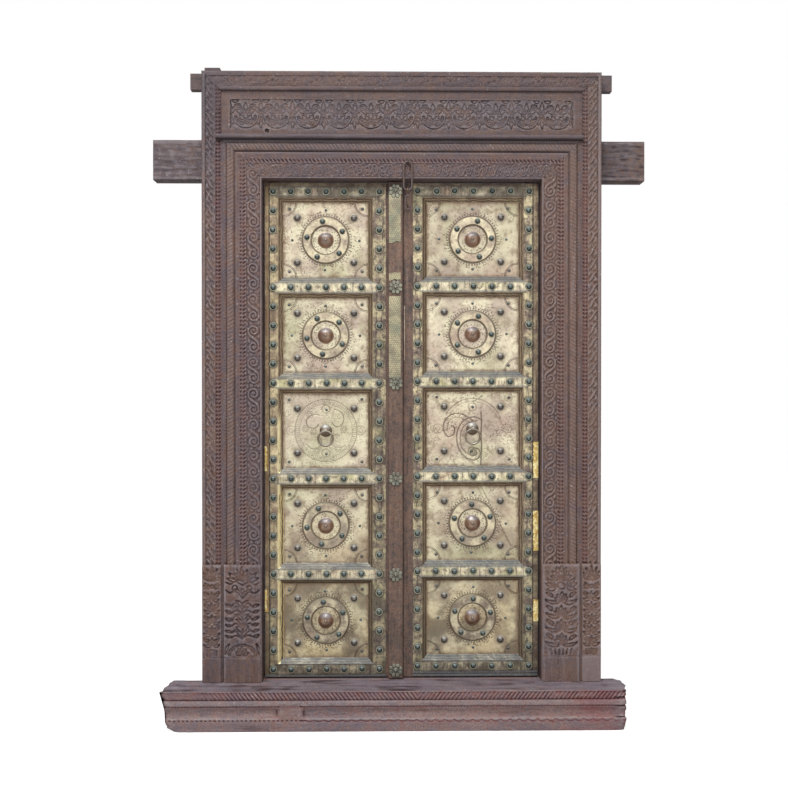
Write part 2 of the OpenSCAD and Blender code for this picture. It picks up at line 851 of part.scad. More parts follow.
// Everything cut out of the leaf's timbers at its panels
module panel_cuts(side) {
    for (i = [0 : panel_rows - 1]) {
        panel_pocket(side, i, sheet_side);
        panel_slab(side, i, sheet_side, panel_y, sheet_t);
        panel_slab(side, i, groove_d, board_y, board_t);
        panel_slab(side, i, 0, board_y, leaf_back - board_y + fuse);
    }
}

// Flat block over a panel, widened by grow on each side
module panel_slab(side, i, grow, y, t) {
    translate([panel_x0(side) - grow, y, panel_z(side, i) - panel_h(side) / 2 - grow])
        cube([panel_x1(side) - panel_x0(side) + 2 * grow, t, panel_h(side) + 2 * grow]);
}

module rail_tenons(side, i, clear) {
    for (x = [panel_x0(side) - rail_tenon_l, panel_x1(side) - fuse])
        translate([x - clear, wood_y + rail_tenon_t - clear, rail_z(side, i) - rail_band / 2 - clear])
            cube([rail_tenon_l + fuse + 2 * clear, rail_tenon_t + 2 * clear,
                rail_band + 2 * clear]);
}

module all_rail_tenons(side, clear) {
    for (i = [0 : panel_rows]) rail_tenons(side, i, clear);
}

// Hanging stile with its pivots and a half-round heel
module hanging_stile(side) {
    pivot_y = leaf_back - heel_r;
    color(leaf_wood) in_doorway(side) {
        difference() {
            translate([0, 0, leaf_z]) linear_extrude(leaf_h) {
                translate([0, wood_y]) square([panel_x0(side), pivot_y - wood_y]);
                translate([heel_r, wood_y]) square([panel_x0(side) - heel_r, leaf_back - wood_y]);
                intersection() {
                    translate([heel_r, pivot_y]) circle(heel_r);
                    translate([0, pivot_y]) square(heel_r);
                }
            }
            panel_cuts(side);
            all_rail_tenons(side, tenon_clear);
        }
        translate([heel_r, pivot_y, sill_h - pivot_l])
            cylinder(d = pivot_d, h = pivot_l + bottom_gap + fuse);
        translate([heel_r, pivot_y, leaf_top - fuse])
            cylinder(d = pivot_d, h = horn_z + pivot_l - leaf_top + fuse);
    }
}

module meeting_stile(side) {
    color(leaf_wood) in_doorway(side)
        difference() {
            translate([panel_x1(side), wood_y, leaf_z])
                cube([leaf_w(side) - panel_x1(side), leaf_back - wood_y, leaf_h]);
            panel_cuts(side);
            all_rail_tenons(side, tenon_clear);
            if (!is_left(side))
                translate([hang_x, 0, 0]) mirror([1, 0, 0])
                    staple_holes(chain_x, wood_y, right_staple_z);
        }
}

// Rail number i, counted from the bottom
module rail(side, i) {
    reach = rail_band / 2 + bevel;
    z0 = i == 0 ? leaf_z : rail_z(side, i) - reach;
    z1 = i == panel_rows ? leaf_top : rail_z(side, i) + reach;
    color(leaf_wood) in_doorway(side) {
        difference() {
            translate([panel_x0(side), wood_y, z0])
                cube([panel_x1(side) - panel_x0(side), leaf_back - wood_y, z1 - z0]);
            panel_cuts(side);
        }
        rail_tenons(side, i, 0);
    }
}

module panel_boards(side) {
    color(leaf_wood) in_doorway(side)
        for (i = [0 : panel_rows - 1])
            panel_slab(side, i, groove_d - board_clear, board_y, board_t);
}

module panel_sheets(side) {
    color(pale_brass) in_doorway(side)
        for (i = [0 : panel_rows - 1])
            panel_slab(side, i, sheet_side - board_clear, panel_y, sheet_t);
}

// Brass sheet folded over the stiles and rails
module cladding(side) {
    color(dull_brass) in_doorway(side)
        difference() {
            translate([0, clad_y, leaf_z]) cube([clad_w(side), panel_drop, leaf_h]);
            for (i = [0 : panel_rows - 1]) panel_pocket(side, i, 0);
            difference() {
                translate([-fuse, wood_y, leaf_z - fuse])
                    cube([clad_w(side) + 2 * fuse, panel_drop, leaf_h + 2 * fuse]);
                for (i = [0 : panel_rows - 1]) panel_pocket(side, i, sheet_side);
            }
        }
}

// Straps over the rails, with pointed ends under the stiles' studs
module rail_straps(side) {
    half = rail_band / 2;
    x0 = stud_x0(side) - strap_point;
    x1 = stud_x1(side) + strap_point;
    color(dull_brass) in_doorway(side)
        for (i = [0 : panel_rows])
            translate([0, clad_y, rail_z(side, i)]) rotate([90, 0, 0]) linear_extrude(sheet_t)
                polygon([[x0, 0], [x0 + half, -half], [x1 - half, -half],
                    [x1, 0], [x1 - half, half], [x0 + half, half]]);
}

// Raised rings round the bosses, flat on top
module boss_rings(side) {
    color(pale_brass) in_doorway(side)
        for (i = ring_rows())
            translate([panel_x(side), panel_y, panel_z(side, i)]) rotate([90, 0, 0]) rotate_extrude()
                polygon([[ring_bore / 2, 0], [ring_d / 2, 0], [ring_d / 2 - ring_slope, ring_h],
                    [ring_bore / 2 + ring_slope, ring_h]]);
}

module bosses(side) {
    color(pale_brass) in_doorway(side)
        for (i = ring_rows())
            translate([panel_x(side), panel_y, panel_z(side, i)]) front_dome(boss_d, boss_h);
}

module panel_domes(side) {
    color(pale_brass) in_doorway(side)
        for (i = [0 : panel_rows - 1], x = [-1, 1], z = [-1, 1])
            translate([panel_x(side) + x * dome_x(), panel_y, panel_z(side, i) + z * dome_z(side)])
                front_dome(dome_d, dome_h);
}

// Domed stud on its round plate
module stud(d, plate_d) {
    front_dome(d, stud_h);
    rotate([90, 0, 0]) cylinder(d = plate_d, h = stud_plate_t);
}

// Studs along the stiles and rails and round the panel rings
module studs(side) {
    count = panel_rows * studs_per_panel;
    step = (stud_x1(side) - stud_x0(side)) / (studs_per_rail + 1);
    ring_r = (ring_d + ring_bore) / 4;
    color(stud_metal) in_doorway(side) {
        for (x = [stud_x0(side), stud_x1(side)], i = [0 : count])
            translate([x, i % studs_per_panel == 0 ? strap_y : clad_y,
                rail_z(side, 0) + i * pitch(side) / studs_per_panel])
                stud(stud_d, stud_plate_d);
        for (i = [0 : panel_rows], k = [1 : studs_per_rail])
            translate([stud_x0(side) + k * step, strap_y, rail_z(side, i)])
                stud(stud_d, stud_plate_d);
        for (i = ring_rows(), k = [0 : ring_studs - 1])
            translate([panel_x(side), panel_y - ring_h, panel_z(side, i)])
                rotate([0, 36 + k * 360 / ring_studs, 0])
                    translate([ring_r, 0, 0]) stud(ring_stud_d, ring_plate_d);
    }
}

// Newer brass folded round the hanging edge: [middle as a share of the leaf's height, length]
function patch_rows(side) = is_left(side) ? [[0.155, 72], [0.443, 81]]
    : [[0.134, 71], [0.296, 130], [0.44, 117]];

module edge_patches(side) {
    w = stud_x0(side) - stud_plate_d / 2 - patch_gap;
    color(gold_brass) in_doorway(side)
        for (row = patch_rows(side))
            translate([-sheet_t, clad_y - sheet_t, leaf_z + row[0] * leaf_h - row[1] / 2])
                difference() {
                    cube([w + sheet_t, w, row[1]]);
                    translate([sheet_t, sheet_t, -fuse]) cube([w + fuse, w, row[1] + 2 * fuse]);
                }
}

// Low boss with an upright eye for the pull ring
module pull_boss(side) {
    color(dull_brass) in_doorway(side)
        translate([panel_x(side), 0, panel_z(side, pull_row)]) {
            translate([0, panel_y, 0]) front_dome(pull_boss_d, pull_boss_h);
            translate([-eye_t / 2, 0, 0]) rotate([90, 0, 90]) linear_extrude(eye_t)
                difference() {
                    union() {
                        translate([eye_y, 0]) circle(eye_r);
                        translate([eye_y, -eye_r]) square([panel_y - eye_root - eye_y, 2 * eye_r]);
                    }
                    translate([eye_y, 0]) circle(d = eye_bore);
                }
        }
}

module pull_ring(side) {
    color(iron) in_doorway(side)
        translate([panel_x(side), eye_y, panel_z(side, pull_row) + pull_z - pull_r])
            rotate([90, 0, 0]) rotate_extrude() translate([pull_r, 0]) circle(d = pull_bar);
}

// Cover strip on the left leaf's meeting stile, and its rosettes
module cover_strip() {
    x0 = leaf_w("left") - cover_inset - cover_w;
    color(leaf_wood) in_doorway("left")
        translate([x0, 0, leaf_z]) linear_extrude(leaf_h) {
            translate([0, wood_y - cover_t + cover_r]) square([cover_w, cover_t - cover_r]);
            translate([cover_r, wood_y - cover_t]) square([cover_w - 2 * cover_r, cover_t]);
            for (x = [cover_r, cover_w - cover_r])
                translate([x, wood_y - cover_t + cover_r]) circle(cover_r);
        }
}

module cover_rosettes() {
    petals = 8;
    petal_r = rosette_d * 0.17;
    color(pale_brass) in_doorway("left")
        for (i = [0 : panel_rows])
            translate([leaf_w("left") - cover_inset - cover_w / 2, wood_y - cover_t,
                rail_z("left", i)]) {
                rotate([90, 0, 0]) linear_extrude(rosette_h / 2) {
                    circle(rosette_d / 2 - petal_r);
                    for (k = [0 : petals - 1])
                        rotate(k * 360 / petals)
                            translate([rosette_d / 2 - petal_r, 0]) circle(petal_r);
                }
                translate([0, -rosette_h / 2, 0]) front_dome(rosette_d * 0.42, rosette_h);
            }
}

module right_staple() {
    tip_y = chain_y - loop_bar / 2 - staple_tip;
    color(iron)
        translate([chain_x, tip_y, right_staple_z])
            staple(wood_y + staple_grip - tip_y, staple_wire);
}

sill();
head();
inner_jamb_left();
inner_jamb_right();
outer_jamb_left();
outer_jamb_right();
outer_head();
frieze_panel();
cornice_strip();
crown_rail();
crown_post_left();
crown_post_right();
head_staple();
chain_link_upper();
chain_link_lower();
hanging_stile("left");  // left_hanging_stile
meeting_stile("left");  // left_meeting_stile
rail("left", 0);  // left_bottom_rail
rail("left", 1);  // left_cross_rail_1
rail("left", 2);  // left_cross_rail_2
rail("left", 3);  // left_cross_rail_3
rail("left", 4);  // left_cross_rail_4
rail("left", panel_rows);  // left_top_rail
panel_boards("left");  // left_panel_boards
panel_sheets("left");  // left_panel_sheets
cladding("left");  // left_cladding
rail_straps("left");  // left_rail_straps
boss_rings("left");  // left_boss_rings
bosses("left");  // left_bosses
panel_domes("left");  // left_panel_domes
studs("left");  // left_studs
edge_patches("left");  // left_edge_patches
pull_boss("left");  // left_pull_boss
pull_ring("left");  // left_pull_ring
cover_strip();
cover_rosettes();
hanging_stile("right");  // right_hanging_stile
meeting_stile("right");  // right_meeting_stile
rail("right", 0);  // right_bottom_rail
rail("right", 1);  // right_cross_rail_1
rail("right", 2);  // right_cross_rail_2
rail("right", 3);  // right_cross_rail_3
rail("right", 4);  // right_cross_rail_4
rail("right", panel_rows);  // right_top_rail
panel_boards("right");  // right_panel_boards
panel_sheets("right");  // right_panel_sheets
cladding("right");  // right_cladding
rail_straps("right");  // right_rail_straps
boss_rings("right");  // right_boss_rings
bosses("right");  // right_bosses
panel_domes("right");  // right_panel_domes
studs("right");  // right_studs
edge_patches("right");  // right_edge_patches
pull_boss("right");  // right_pull_boss
pull_ring("right");  // right_pull_ring
right_staple();
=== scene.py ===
"""Looks of a carved temple door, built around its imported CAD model.

The timbers of the frame are carved as height fields, in millimetres: u runs across a member from its
inner edge, s runs along it, and a height is measured from the member's face towards the viewer.
"""

import json
import math

import bpy
import numpy as np
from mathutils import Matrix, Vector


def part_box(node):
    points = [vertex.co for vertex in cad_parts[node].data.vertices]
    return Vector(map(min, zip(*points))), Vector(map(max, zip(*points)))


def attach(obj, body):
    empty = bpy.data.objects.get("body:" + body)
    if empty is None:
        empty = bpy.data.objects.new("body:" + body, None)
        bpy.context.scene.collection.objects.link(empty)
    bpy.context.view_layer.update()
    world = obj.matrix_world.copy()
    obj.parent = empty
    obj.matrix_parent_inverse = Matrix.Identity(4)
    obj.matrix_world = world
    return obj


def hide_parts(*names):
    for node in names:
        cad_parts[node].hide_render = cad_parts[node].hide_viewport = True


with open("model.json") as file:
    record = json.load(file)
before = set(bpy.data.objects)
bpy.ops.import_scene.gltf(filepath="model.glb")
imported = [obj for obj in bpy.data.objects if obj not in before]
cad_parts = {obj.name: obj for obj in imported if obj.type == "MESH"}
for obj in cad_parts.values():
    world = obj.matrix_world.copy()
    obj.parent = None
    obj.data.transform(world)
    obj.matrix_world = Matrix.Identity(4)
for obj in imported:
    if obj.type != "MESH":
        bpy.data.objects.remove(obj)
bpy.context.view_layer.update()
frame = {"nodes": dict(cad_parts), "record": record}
nodes = frame["nodes"]

MM = 0.001
SIDES = ("left", "right")
SIGN = {"left": -1, "right": 1}


def box_mm(node):
    low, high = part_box(node)
    return np.array(low) / MM, np.array(high) / MM


# Places read from the frame
SILL_LOW, SILL_HIGH = box_mm("sill")
SILL_TOP = SILL_HIGH[2]
HEAD_LOW, HEAD_HIGH = box_mm("head")
OPENING_TOP = HEAD_LOW[2]
HALF_OPENING = box_mm("inner_jamb_right")[0][0]
HALF_INNER = box_mm("outer_jamb_right")[0][0]
HALF_FRAME = box_mm("outer_jamb_right")[1][0]
FACE_BACK = box_mm("outer_jamb_right")[1][1]
FACE = box_mm("outer_head")[0][1]
JAMB_BACK = box_mm("inner_jamb_right")[1][1]
STRIP_Z = box_mm("outer_head")[0][2]
STRIP_W = HALF_FRAME - HALF_INNER

# Sizes of the carving
EDGE_W = 5.0
SCROLL_W = 45.0
BEAD_W = 24.0
GROOVE_W = 15.0
ROUND_W = 26.0
BACK_W = 8.0
MOULD_EDGES = tuple(np.cumsum((0, EDGE_W, SCROLL_W, BEAD_W, GROOVE_W, ROUND_W, BACK_W)))
MOULD_W = MOULD_EDGES[-1]
RELIEF = 3.8
CORD_W = 18.0
BAND_W = 32.0
STRIP_PERIOD = 42.0
INCISED_W = 3.1
BASE_H = 378.0
BASE_FOOT = 84.0
BASE_PROUD = 4.0
BASE_EDGE = 3.5
BASE_CUT = 4.3
BASE_FIELD_H = BASE_H - BASE_FOOT - BASE_EDGE
SCROLL_PERIOD = 100.0
BEAD_PITCH = 12.5
HORN_Z = OPENING_TOP + 5.0
HORN_H = 129.0
TENON = (60.0, 22.0, 50.0)

# Sizes of the leaves' trim
STUD_R = 13.0
STUDS_PER_PANEL = 5
RING_R = 61.25
RING_H = 6.0
DOME_X = 92.0
DOME_Z = 72.5
NAIL_X = 118.0
NAIL_Z = 101.0
PULL_ROW = 2
FOLD_IN = {"left": 14.0, "right": 17.0}


# Noise and height helpers


def noise(a, b, cell, seed):
    """Smooth noise from 0 to 1 over two coordinates."""
    lattice = np.random.default_rng(seed).random((97, 89))
    x, y = a / cell, b / cell
    i, j = np.floor(x).astype(int), np.floor(y).astype(int)
    fx, fy = x - i, y - j
    fx, fy = fx * fx * (3 - 2 * fx), fy * fy * (3 - 2 * fy)
    n, m = lattice.shape
    low = lattice[i % n, j % m] * (1 - fx) + lattice[(i + 1) % n, j % m] * fx
    high = lattice[i % n, (j + 1) % m] * (1 - fx) + lattice[(i + 1) % n, (j + 1) % m] * fx
    return low * (1 - fy) + high * fy


def rough(a, b, cell, seed):
    """Two octaves of noise about zero."""
    return noise(a, b, cell, seed) + 0.5 * noise(a, b, cell / 2.3, seed + 1) - 0.75


def blur(grid, size):
    """Mean over a square of 2 * size + 1 points."""
    out = grid
    for axis in (0, 1):
        pad = [(0, 0), (0, 0)]
        pad[axis] = (size + 1, size)
        total = np.cumsum(np.pad(out, pad, mode="edge"), axis=axis)
        n = out.shape[axis]
        high = np.take(total, np.arange(2 * size + 1, 2 * size + 1 + n), axis=axis)
        low = np.take(total, np.arange(n), axis=axis)
        out = (high - low) / (2 * size + 1)
    return out


def stroke(points, width, height):
    """Rows of (u, s, radius, height) along a line of points, close enough to read as one rounded ridge."""
    points = np.asarray(points, float)
    width = np.broadcast_to(np.asarray(width, float), len(points))
    height = np.broadcast_to(np.asarray(height, float), len(points))
    return np.column_stack([points, width / 2, height])


def curve(points, count=14):
    """Smooth line through a few points."""
    points = np.asarray(points, float)
    t = np.linspace(0, len(points) - 1, count)
    out = np.empty((count, 2))
    for k, value in enumerate(t):
        i = min(int(value), len(points) - 2)
        f = value - i
        p0 = points[max(i - 1, 0)]
        p1, p2 = points[i], points[i + 1]
        p3 = points[min(i + 2, len(points) - 1)]
        out[k] = 0.5 * (
            2 * p1
            + (p2 - p0) * f
            + (2 * p0 - 5 * p1 + 4 * p2 - p3) * f**2
            + (3 * p1 - p0 - 3 * p2 + p3) * f**3
        )
    return out


def spiral(centre, radii, start, turn, shrink, count=46):
    """Curl about a centre, from an angle, through a turn, while its radius shrinks by a share."""
    t = np.linspace(0, 1, count)
    angle = np.radians(start + turn * t)
    size = 1 - shrink * t
    return np.column_stack(
        [centre[0] + size * radii[0] * np.cos(angle), centre[1] + size * radii[1] * np.sin(angle)]
    )


def leaf(base, angle, length, width, height, bend=0.0, count=12):
    """Pointed leaf from its base along an angle in degrees, bending sideways by a share of its length."""
    t = np.linspace(0, 1, count)
    side = bend * length * t * t
    a = math.radians(angle)
    u = base[0] + length * t * math.cos(a) - side * math.sin(a)
    s = base[1] + length * t * math.sin(a) + side * math.cos(a)
    swell = width * (0.16 + 0.84 * np.sin(np.pi * np.clip(t, 0.02, 0.98)) ** 0.8)
    return stroke(np.column_stack([u, s]), swell, height)


def dot(centre, size, height):
    return stroke([centre], size, height)


def mirrored(rows):
    """Rows with their reflection in u = 0."""
    return np.concatenate([rows, rows * np.array([-1, 1, 1, 1])])


def emboss(u, s, rows, period=0.0):
    """Height of rounded strokes at points, repeated along s by a period where one is given."""
    shape = u.shape
    u, s = u.ravel(), s.ravel()
    if period:
        s = np.mod(s, period)
        shifts = (-period, 0.0, period)
        rows = np.concatenate([rows + np.array([0, k, 0, 0]) for k in shifts])
        reach = rows[:, 2].max()
        rows = rows[(rows[:, 1] > -reach) & (rows[:, 1] < period + reach)]
    out = np.zeros(len(u))
    chunk = 4000
    for k in range(0, len(u), chunk):
        du = u[k : k + chunk, None] - rows[None, :, 0]
        ds = s[k : k + chunk, None] - rows[None, :, 1]
        inside = np.clip(1 - (du * du + ds * ds) / rows[None, :, 2] ** 2, 0, 1)
        out[k : k + chunk] = (rows[None, :, 3] * np.sqrt(inside)).max(axis=1)
    return out.reshape(shape)


def engrave(u, s, rows, swell, period=0.0):
    """Depth of cut lines at points, from 0 to 1: a swell widens them into soft valleys between the forms."""
    wide = rows * np.array([1, 1, swell, 1])
    return emboss(u, s, wide, period) ** 2


def bead_row(u, s, centre, half_width, pitch, lean, fill):
    """Row of slanted oval beads about u = centre, from 0 to 1."""
    du = (u - centre) / half_width
    along = s + lean * (u - centre)
    ds = (np.mod(along, pitch) - pitch / 2) / (fill * pitch)
    return np.sqrt(np.clip(1 - du * du - ds * ds, 0, 1))


def twist(u, s, centre, pitch, lean):
    """Slanted furrows of a rope: 1 in a furrow, 0 between."""
    along = np.mod(s + lean * (u - centre), pitch) / pitch
    return np.clip(1 - np.abs(along - 0.5) / 0.2, 0, 1)


# Meshes


def shell_of_grid(x, y, z, back):
    """Closed board with a carved front: grids of x, y and z, and the depth of its plane back."""
    rows, cols = x.shape
    front = np.stack([x, y, z], axis=-1)
    sides = [front[:, 0].copy(), front[:, -1].copy()]
    for edge in sides:
        edge[:, 1] = back
    verts = np.concatenate([front.reshape(-1, 3), sides[0], sides[1]])
    index = np.arange(rows * cols).reshape(rows, cols)
    left = rows * cols + np.arange(rows)
    right = left + rows
    a, b, c, d = index[:-1, :-1], index[:-1, 1:], index[1:, 1:], index[1:, :-1]
    quads = [np.stack([a, b, c, d], axis=-1).reshape(-1, 4)]
    quads.append(np.column_stack([index[:-1, 0], index[1:, 0], left[1:], left[:-1]]))
    quads.append(np.column_stack([index[1:, -1], index[:-1, -1], right[:-1], right[1:]]))
    quads.append(np.column_stack([left[:-1], left[1:], right[1:], right[:-1]]))
    faces = np.concatenate(quads).tolist()
    faces.append(index[0, ::-1].tolist() + [int(left[0]), int(right[0])])
    faces.append(index[-1].tolist() + [int(right[-1]), int(left[-1])])
    across = front[rows // 2, cols // 2 + 1] - front[rows // 2, cols // 2]
    along = front[rows // 2 + 1, cols // 2] - front[rows // 2, cols // 2]
    if np.cross(across, along)[1] > 0:
        faces = [face[::-1] for face in faces]
    return verts, faces


def shell_of_box(low, high):
    low, high = np.asarray(low, float), np.asarray(high, float)
    corners = [(i, j, k) for k in (0, 1) for j in (0, 1) for i in (0, 1)]
    verts = np.array([[(low, high)[c[a]][a] for a in range(3)] for c in corners])
    faces = [[0, 2, 3, 1], [4, 5, 7, 6], [0, 1, 5, 4], [2, 6, 7, 3], [0, 4, 6, 2], [1, 3, 7, 5]]
    return verts, faces


def lathe(profile, count):
    """Turned form from (radius, height) points that end on the axis; its height runs towards the viewer."""
    angle = np.linspace(0, 2 * np.pi, count, endpoint=False)
    rings = profile[:-1]
    verts = [(r * math.cos(a), -h, r * math.sin(a)) for r, h in rings for a in angle]
    verts.append((0, -profile[-1][1], 0))
    faces = []
    for i in range(len(rings) - 1):
        for k in range(count):
            n = (k + 1) % count
            faces.append([i * count + k, i * count + n, (i + 1) * count + n, (i + 1) * count + k])
    last, tip = (len(rings) - 1) * count, len(verts) - 1
    faces += [[last + k, last + (k + 1) % count, tip] for k in range(count)]
    faces.append(list(range(count - 1, -1, -1)))
    return np.array(verts), faces


def joined(shells):
    """One list of vertices and faces from several closed shells."""
    verts, faces, start = [], [], 0
    for v, f in shells:
        verts.append(v)
        faces += [[i + start for i in face] for face in f]
        start += len(v)
    return np.concatenate(verts), faces


def placed(shell, at, turn=0.0):
    """Copy of a shell moved to a point, turned about the depth axis."""
    v, f = shell
    c, s = math.cos(turn), math.sin(turn)
    x, z = c * v[:, 0] - s * v[:, 2], s * v[:, 0] + c * v[:, 2]
    return np.column_stack([x, v[:, 1], z]) + np.asarray(at, float), f


def add_object(name, data):
    thing = bpy.data.objects.new(name, data)
    bpy.context.scene.collection.objects.link(thing)
    return thing


UNPAINTED = {"blush": 0.1, "cut": 0.0}


def add_piece(name, shell, material, body, replaced=(), paint=None, sharp=50):
    """Adds a mesh piece. paint gives named values for its first vertices; the others take UNPAINTED."""
    verts, faces = shell
    mesh = bpy.data.meshes.new(name)
    mesh.from_pydata((verts * MM).tolist(), [], faces)
    for key, values in (paint or {}).items():
        full = np.full(len(verts), UNPAINTED.get(key, 0.5), np.float32)
        full[: values.size] = values.ravel()
        mesh.attributes.new(key, "FLOAT", "POINT").data.foreach_set("value", full)
    mesh.shade_smooth()
    mesh.set_sharp_from_angle(angle=math.radians(sharp))
    mesh.materials.append(material)
    piece = add_object(name, mesh)
    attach(piece, body)
    if replaced:
        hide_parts(*replaced)
    return piece


def add_carved(node, shell, look, rise, blush, warm, ending="_carved"):
    """Adds a carved piece of the frame in place of its CAD node."""
    paint = {"rise": rise, "blush": blush, "warm": warm}
    add_piece(node + ending, shell, look, "frame", [node], paint)


TURNED_SHARP = 35


def add_turned(name, shells, look, body, replaced=(), rim=None, spokes=0):
    """Adds turned shells as one piece; rim gives the paint of each ring of a shell's profile."""
    paint = None
    if rim:
        paint = {"rise": np.tile(np.append(np.repeat(rim[:-1], spokes), rim[-1]), len(shells))}
    add_piece(name, joined(shells), look, body, replaced, paint, TURNED_SHARP)


# Materials


def rgba(colour):
    """Linear colour of an 8-bit one; a socket stays as it is."""
    if isinstance(colour, bpy.types.NodeSocket):
        return colour
    return (*(c / 255 / 12.92 if c <= 10 else ((c / 255 + 0.055) / 1.055) ** 2.4 for c in colour), 1)


def put(tree, socket, value):
    """Links a socket to another one or sets its value."""
    if isinstance(value, bpy.types.NodeSocket):
        tree.links.new(value, socket)
    else:
        socket.default_value = value


def add_node(tree, kind, inputs=None, **settings):
    node = tree.nodes.new("ShaderNode" + kind)
    for key, value in settings.items():
        setattr(node, key, value)
    for key, value in (inputs or {}).items():
        put(tree, node.inputs[key], value)
    return node


class Graph:
    """Short names for the nodes of one material, whose colour is laid on step by step."""

    def __init__(self, name, colour, roughness, metallic=0.0):
        self.material = bpy.data.materials.new(name)
        self.material.use_nodes = True
        self.tree = self.material.node_tree
        self.shader = self.tree.nodes["Principled BSDF"].inputs
        self.shader["Roughness"].default_value = roughness
        self.shader["Metallic"].default_value = metallic
        self.colour = colour

    def node(self, kind, inputs=None, **settings):
        return add_node(self.tree, kind, inputs, **settings)

    def place(self):
        return self.node("TexCoord").outputs["Object"]

    def stretched(self, scale):
        return self.node("Mapping", {"Vector": self.place(), "Scale": scale}).outputs["Vector"]

    def noise(self, scale, detail=4.0, vector=None, roughness=0.6):
        inputs = {"Vector": vector or self.place(), "Scale": scale, "Detail": detail, "Roughness": roughness}
        return self.node("TexNoise", inputs).outputs["Fac"]

    def cells(self, scale):
        return self.node("TexVoronoi", {"Vector": self.place(), "Scale": scale}).outputs["Distance"]

    def painted(self, name):
        return self.node("Attribute", attribute_name=name).outputs["Fac"]

    def parts(self, vector):
        outputs = self.node("SeparateXYZ", {0: vector}).outputs
        return outputs["X"], outputs["Y"], outputs["Z"]

    def axes(self, output):
        """Three parts of a texture coordinate: Object for a place, Normal for the way a face looks."""
        return self.parts(self.node("TexCoord").outputs[output])

    def math(self, operation, a, b=0.0):
        return self.node("Math", {0: a, 1: b}, operation=operation).outputs[0]

    def plus(self, a, b):
        return self.math("ADD", a, b)

    def minus(self, a, b):
        return self.math("SUBTRACT", a, b)

    def times(self, a, b):
        return self.math("MULTIPLY", a, b)

    def most(self, a, b):
        return self.math("MAXIMUM", a, b)

    def size(self, value):
        return self.math("ABSOLUTE", value)

    def gap(self, a, b):
        return self.size(self.minus(a, b))

    def length(self, a, b):
        return self.math("SQRT", self.plus(self.times(a, a), self.times(b, b)))

    def from_nearest(self, value, first, pitch):
        """Distance from the nearest of a row of places."""
        along = self.math("FLOORED_MODULO", self.minus(value, first - pitch / 2), pitch)
        return self.gap(along, pitch / 2)

    def span(self, value, low, high, to_low=0.0, to_high=1.0):
        """Smooth step from to_low at low to to_high at high."""
        inputs = {"Value": value, "From Min": low, "From Max": high, "To Min": to_low, "To Max": to_high}
        return self.node("MapRange", inputs, interpolation_type="SMOOTHSTEP").outputs["Result"]

    def line(self, value, at, half):
        return self.span(self.gap(value, at), half * 1.6, half * 0.4)

    def between(self, value, low, high, soft=0.02):
        above = self.span(value, low - soft, low + soft)
        return self.times(above, self.span(value, high + soft, high - soft))

    def blend(self, factor, a, b):
        inputs = {"Factor": factor, "A": rgba(a), "B": rgba(b)}
        return self.node("Mix", inputs, data_type="RGBA").outputs["Result"]

    def mix(self, colour, factor, share=None):
        """Lays a colour over what is there, by a factor and a share of it."""
        factor = factor if share is None else self.times(factor, share)
        self.colour = self.blend(factor, self.colour, colour)

    def tint(self, colour, value, low, high, share=1.0):
        """Lays a colour on by a share that grows as a value goes from low to high."""
        self.mix(colour, self.span(value, low, high, 0.0, share))

    def gloss(self, value, smooth, matt):
        put(self.tree, self.shader["Roughness"], self.span(value, 0.3, 0.7, smooth, matt))

    def bump(self, height, distance, strength=0.6):
        inputs = {"Strength": strength, "Distance": distance, "Height": height}
        put(self.tree, self.shader["Normal"], self.node("Bump", inputs).outputs["Normal"])

    def finish(self):
        put(self.tree, self.shader["Base Color"], self.colour)
        return self.material


# The tints of a wood are dark, warm, cool, red and light
WOOD_TINTS = ((46, 33, 33), (130, 106, 94), (104, 93, 97), (106, 66, 64), (162, 154, 158))
SILL_TINTS = ((56, 36, 38), (156, 132, 126), (128, 120, 128), (134, 66, 70), (192, 182, 180))
LEAF_TINTS = ((30, 22, 20), (136, 110, 96), (98, 86, 82), (104, 68, 60), (178, 156, 138))
PALE_TINTS = ((120, 96, 78), (214, 196, 168), (196, 182, 162), (170, 138, 112), (232, 220, 198))
# colour of the painted glints on the raised carving
GLINT_WHITE = (206, 202, 204)
# painted shade that darkens and greys the frame towards its top
UPPER_SHADE = (64, 64, 68)
UPPER_SHADE_SHARE = 0.3
UPPER_SHADE_FOOT = 1.55
UPPER_SHADE_TOP = 2.05
CLOUDING = 0.26
MOTTLE = 0.3


def wood_material(name, tints, carved, grain):
    """Weathered hardwood. A carved piece is painted with three values at each point: how high it stands
    in its carving, how red its cuts are and how warm its colour is. How high it stands gives painted
    shade in its hollows, painted highlights and white glints on its ridges; the upper frame takes painted
    shade."""
    dark, warm, cool, red, light = tints
    g = Graph(name, cool, 0.8)
    g.shader["Specular IOR Level"].default_value = 0.22
    fibre = g.noise(1.0, 6.0, g.stretched(grain), 0.7)
    blots = g.noise(52.0, 5.0)
    speck = g.noise(240.0, 3.0)
    base = g.painted("warm") if carved else 0.5
    tone = g.plus(base, g.span(g.noise(5.5), 0.3, 0.7, -CLOUDING, CLOUDING))
    tone = g.plus(tone, g.span(blots, 0.3, 0.7, -MOTTLE, MOTTLE))
    g.tint(warm, tone, 0.0, 1.0)
    g.tint(red, blots, 0.52, 0.75, 0.4)
    g.tint(light, fibre, 0.5, 0.8, 0.45)
    g.tint(dark, fibre, 0.48, 0.22, 0.7)
    g.tint(dark, speck, 0.4, 0.75, 0.5)
    if carved:
        rise = g.painted("rise")
        g.mix(red, g.painted("blush"), 0.75)
        # painted shade in the hollows of the carving and painted highlights on its ridges
        g.tint(dark, rise, 0.52, 0.1, 0.86)
        g.tint(light, rise, 0.58, 0.95, 0.4)
        # painted glints: white specks on the raised parts of the carving
        glints = g.times(g.span(g.noise(150.0, 2.0), 0.66, 0.74), g.span(rise, 0.5, 0.62))
        g.mix(GLINT_WHITE, glints, 0.6)
    # painted shade towards the top of the frame
    g.tint(UPPER_SHADE, g.axes("Object")[2], UPPER_SHADE_FOOT, UPPER_SHADE_TOP, UPPER_SHADE_SHARE)
    g.bump(g.plus(fibre, g.times(speck, 0.7)), 0.0016)
    return g.finish()


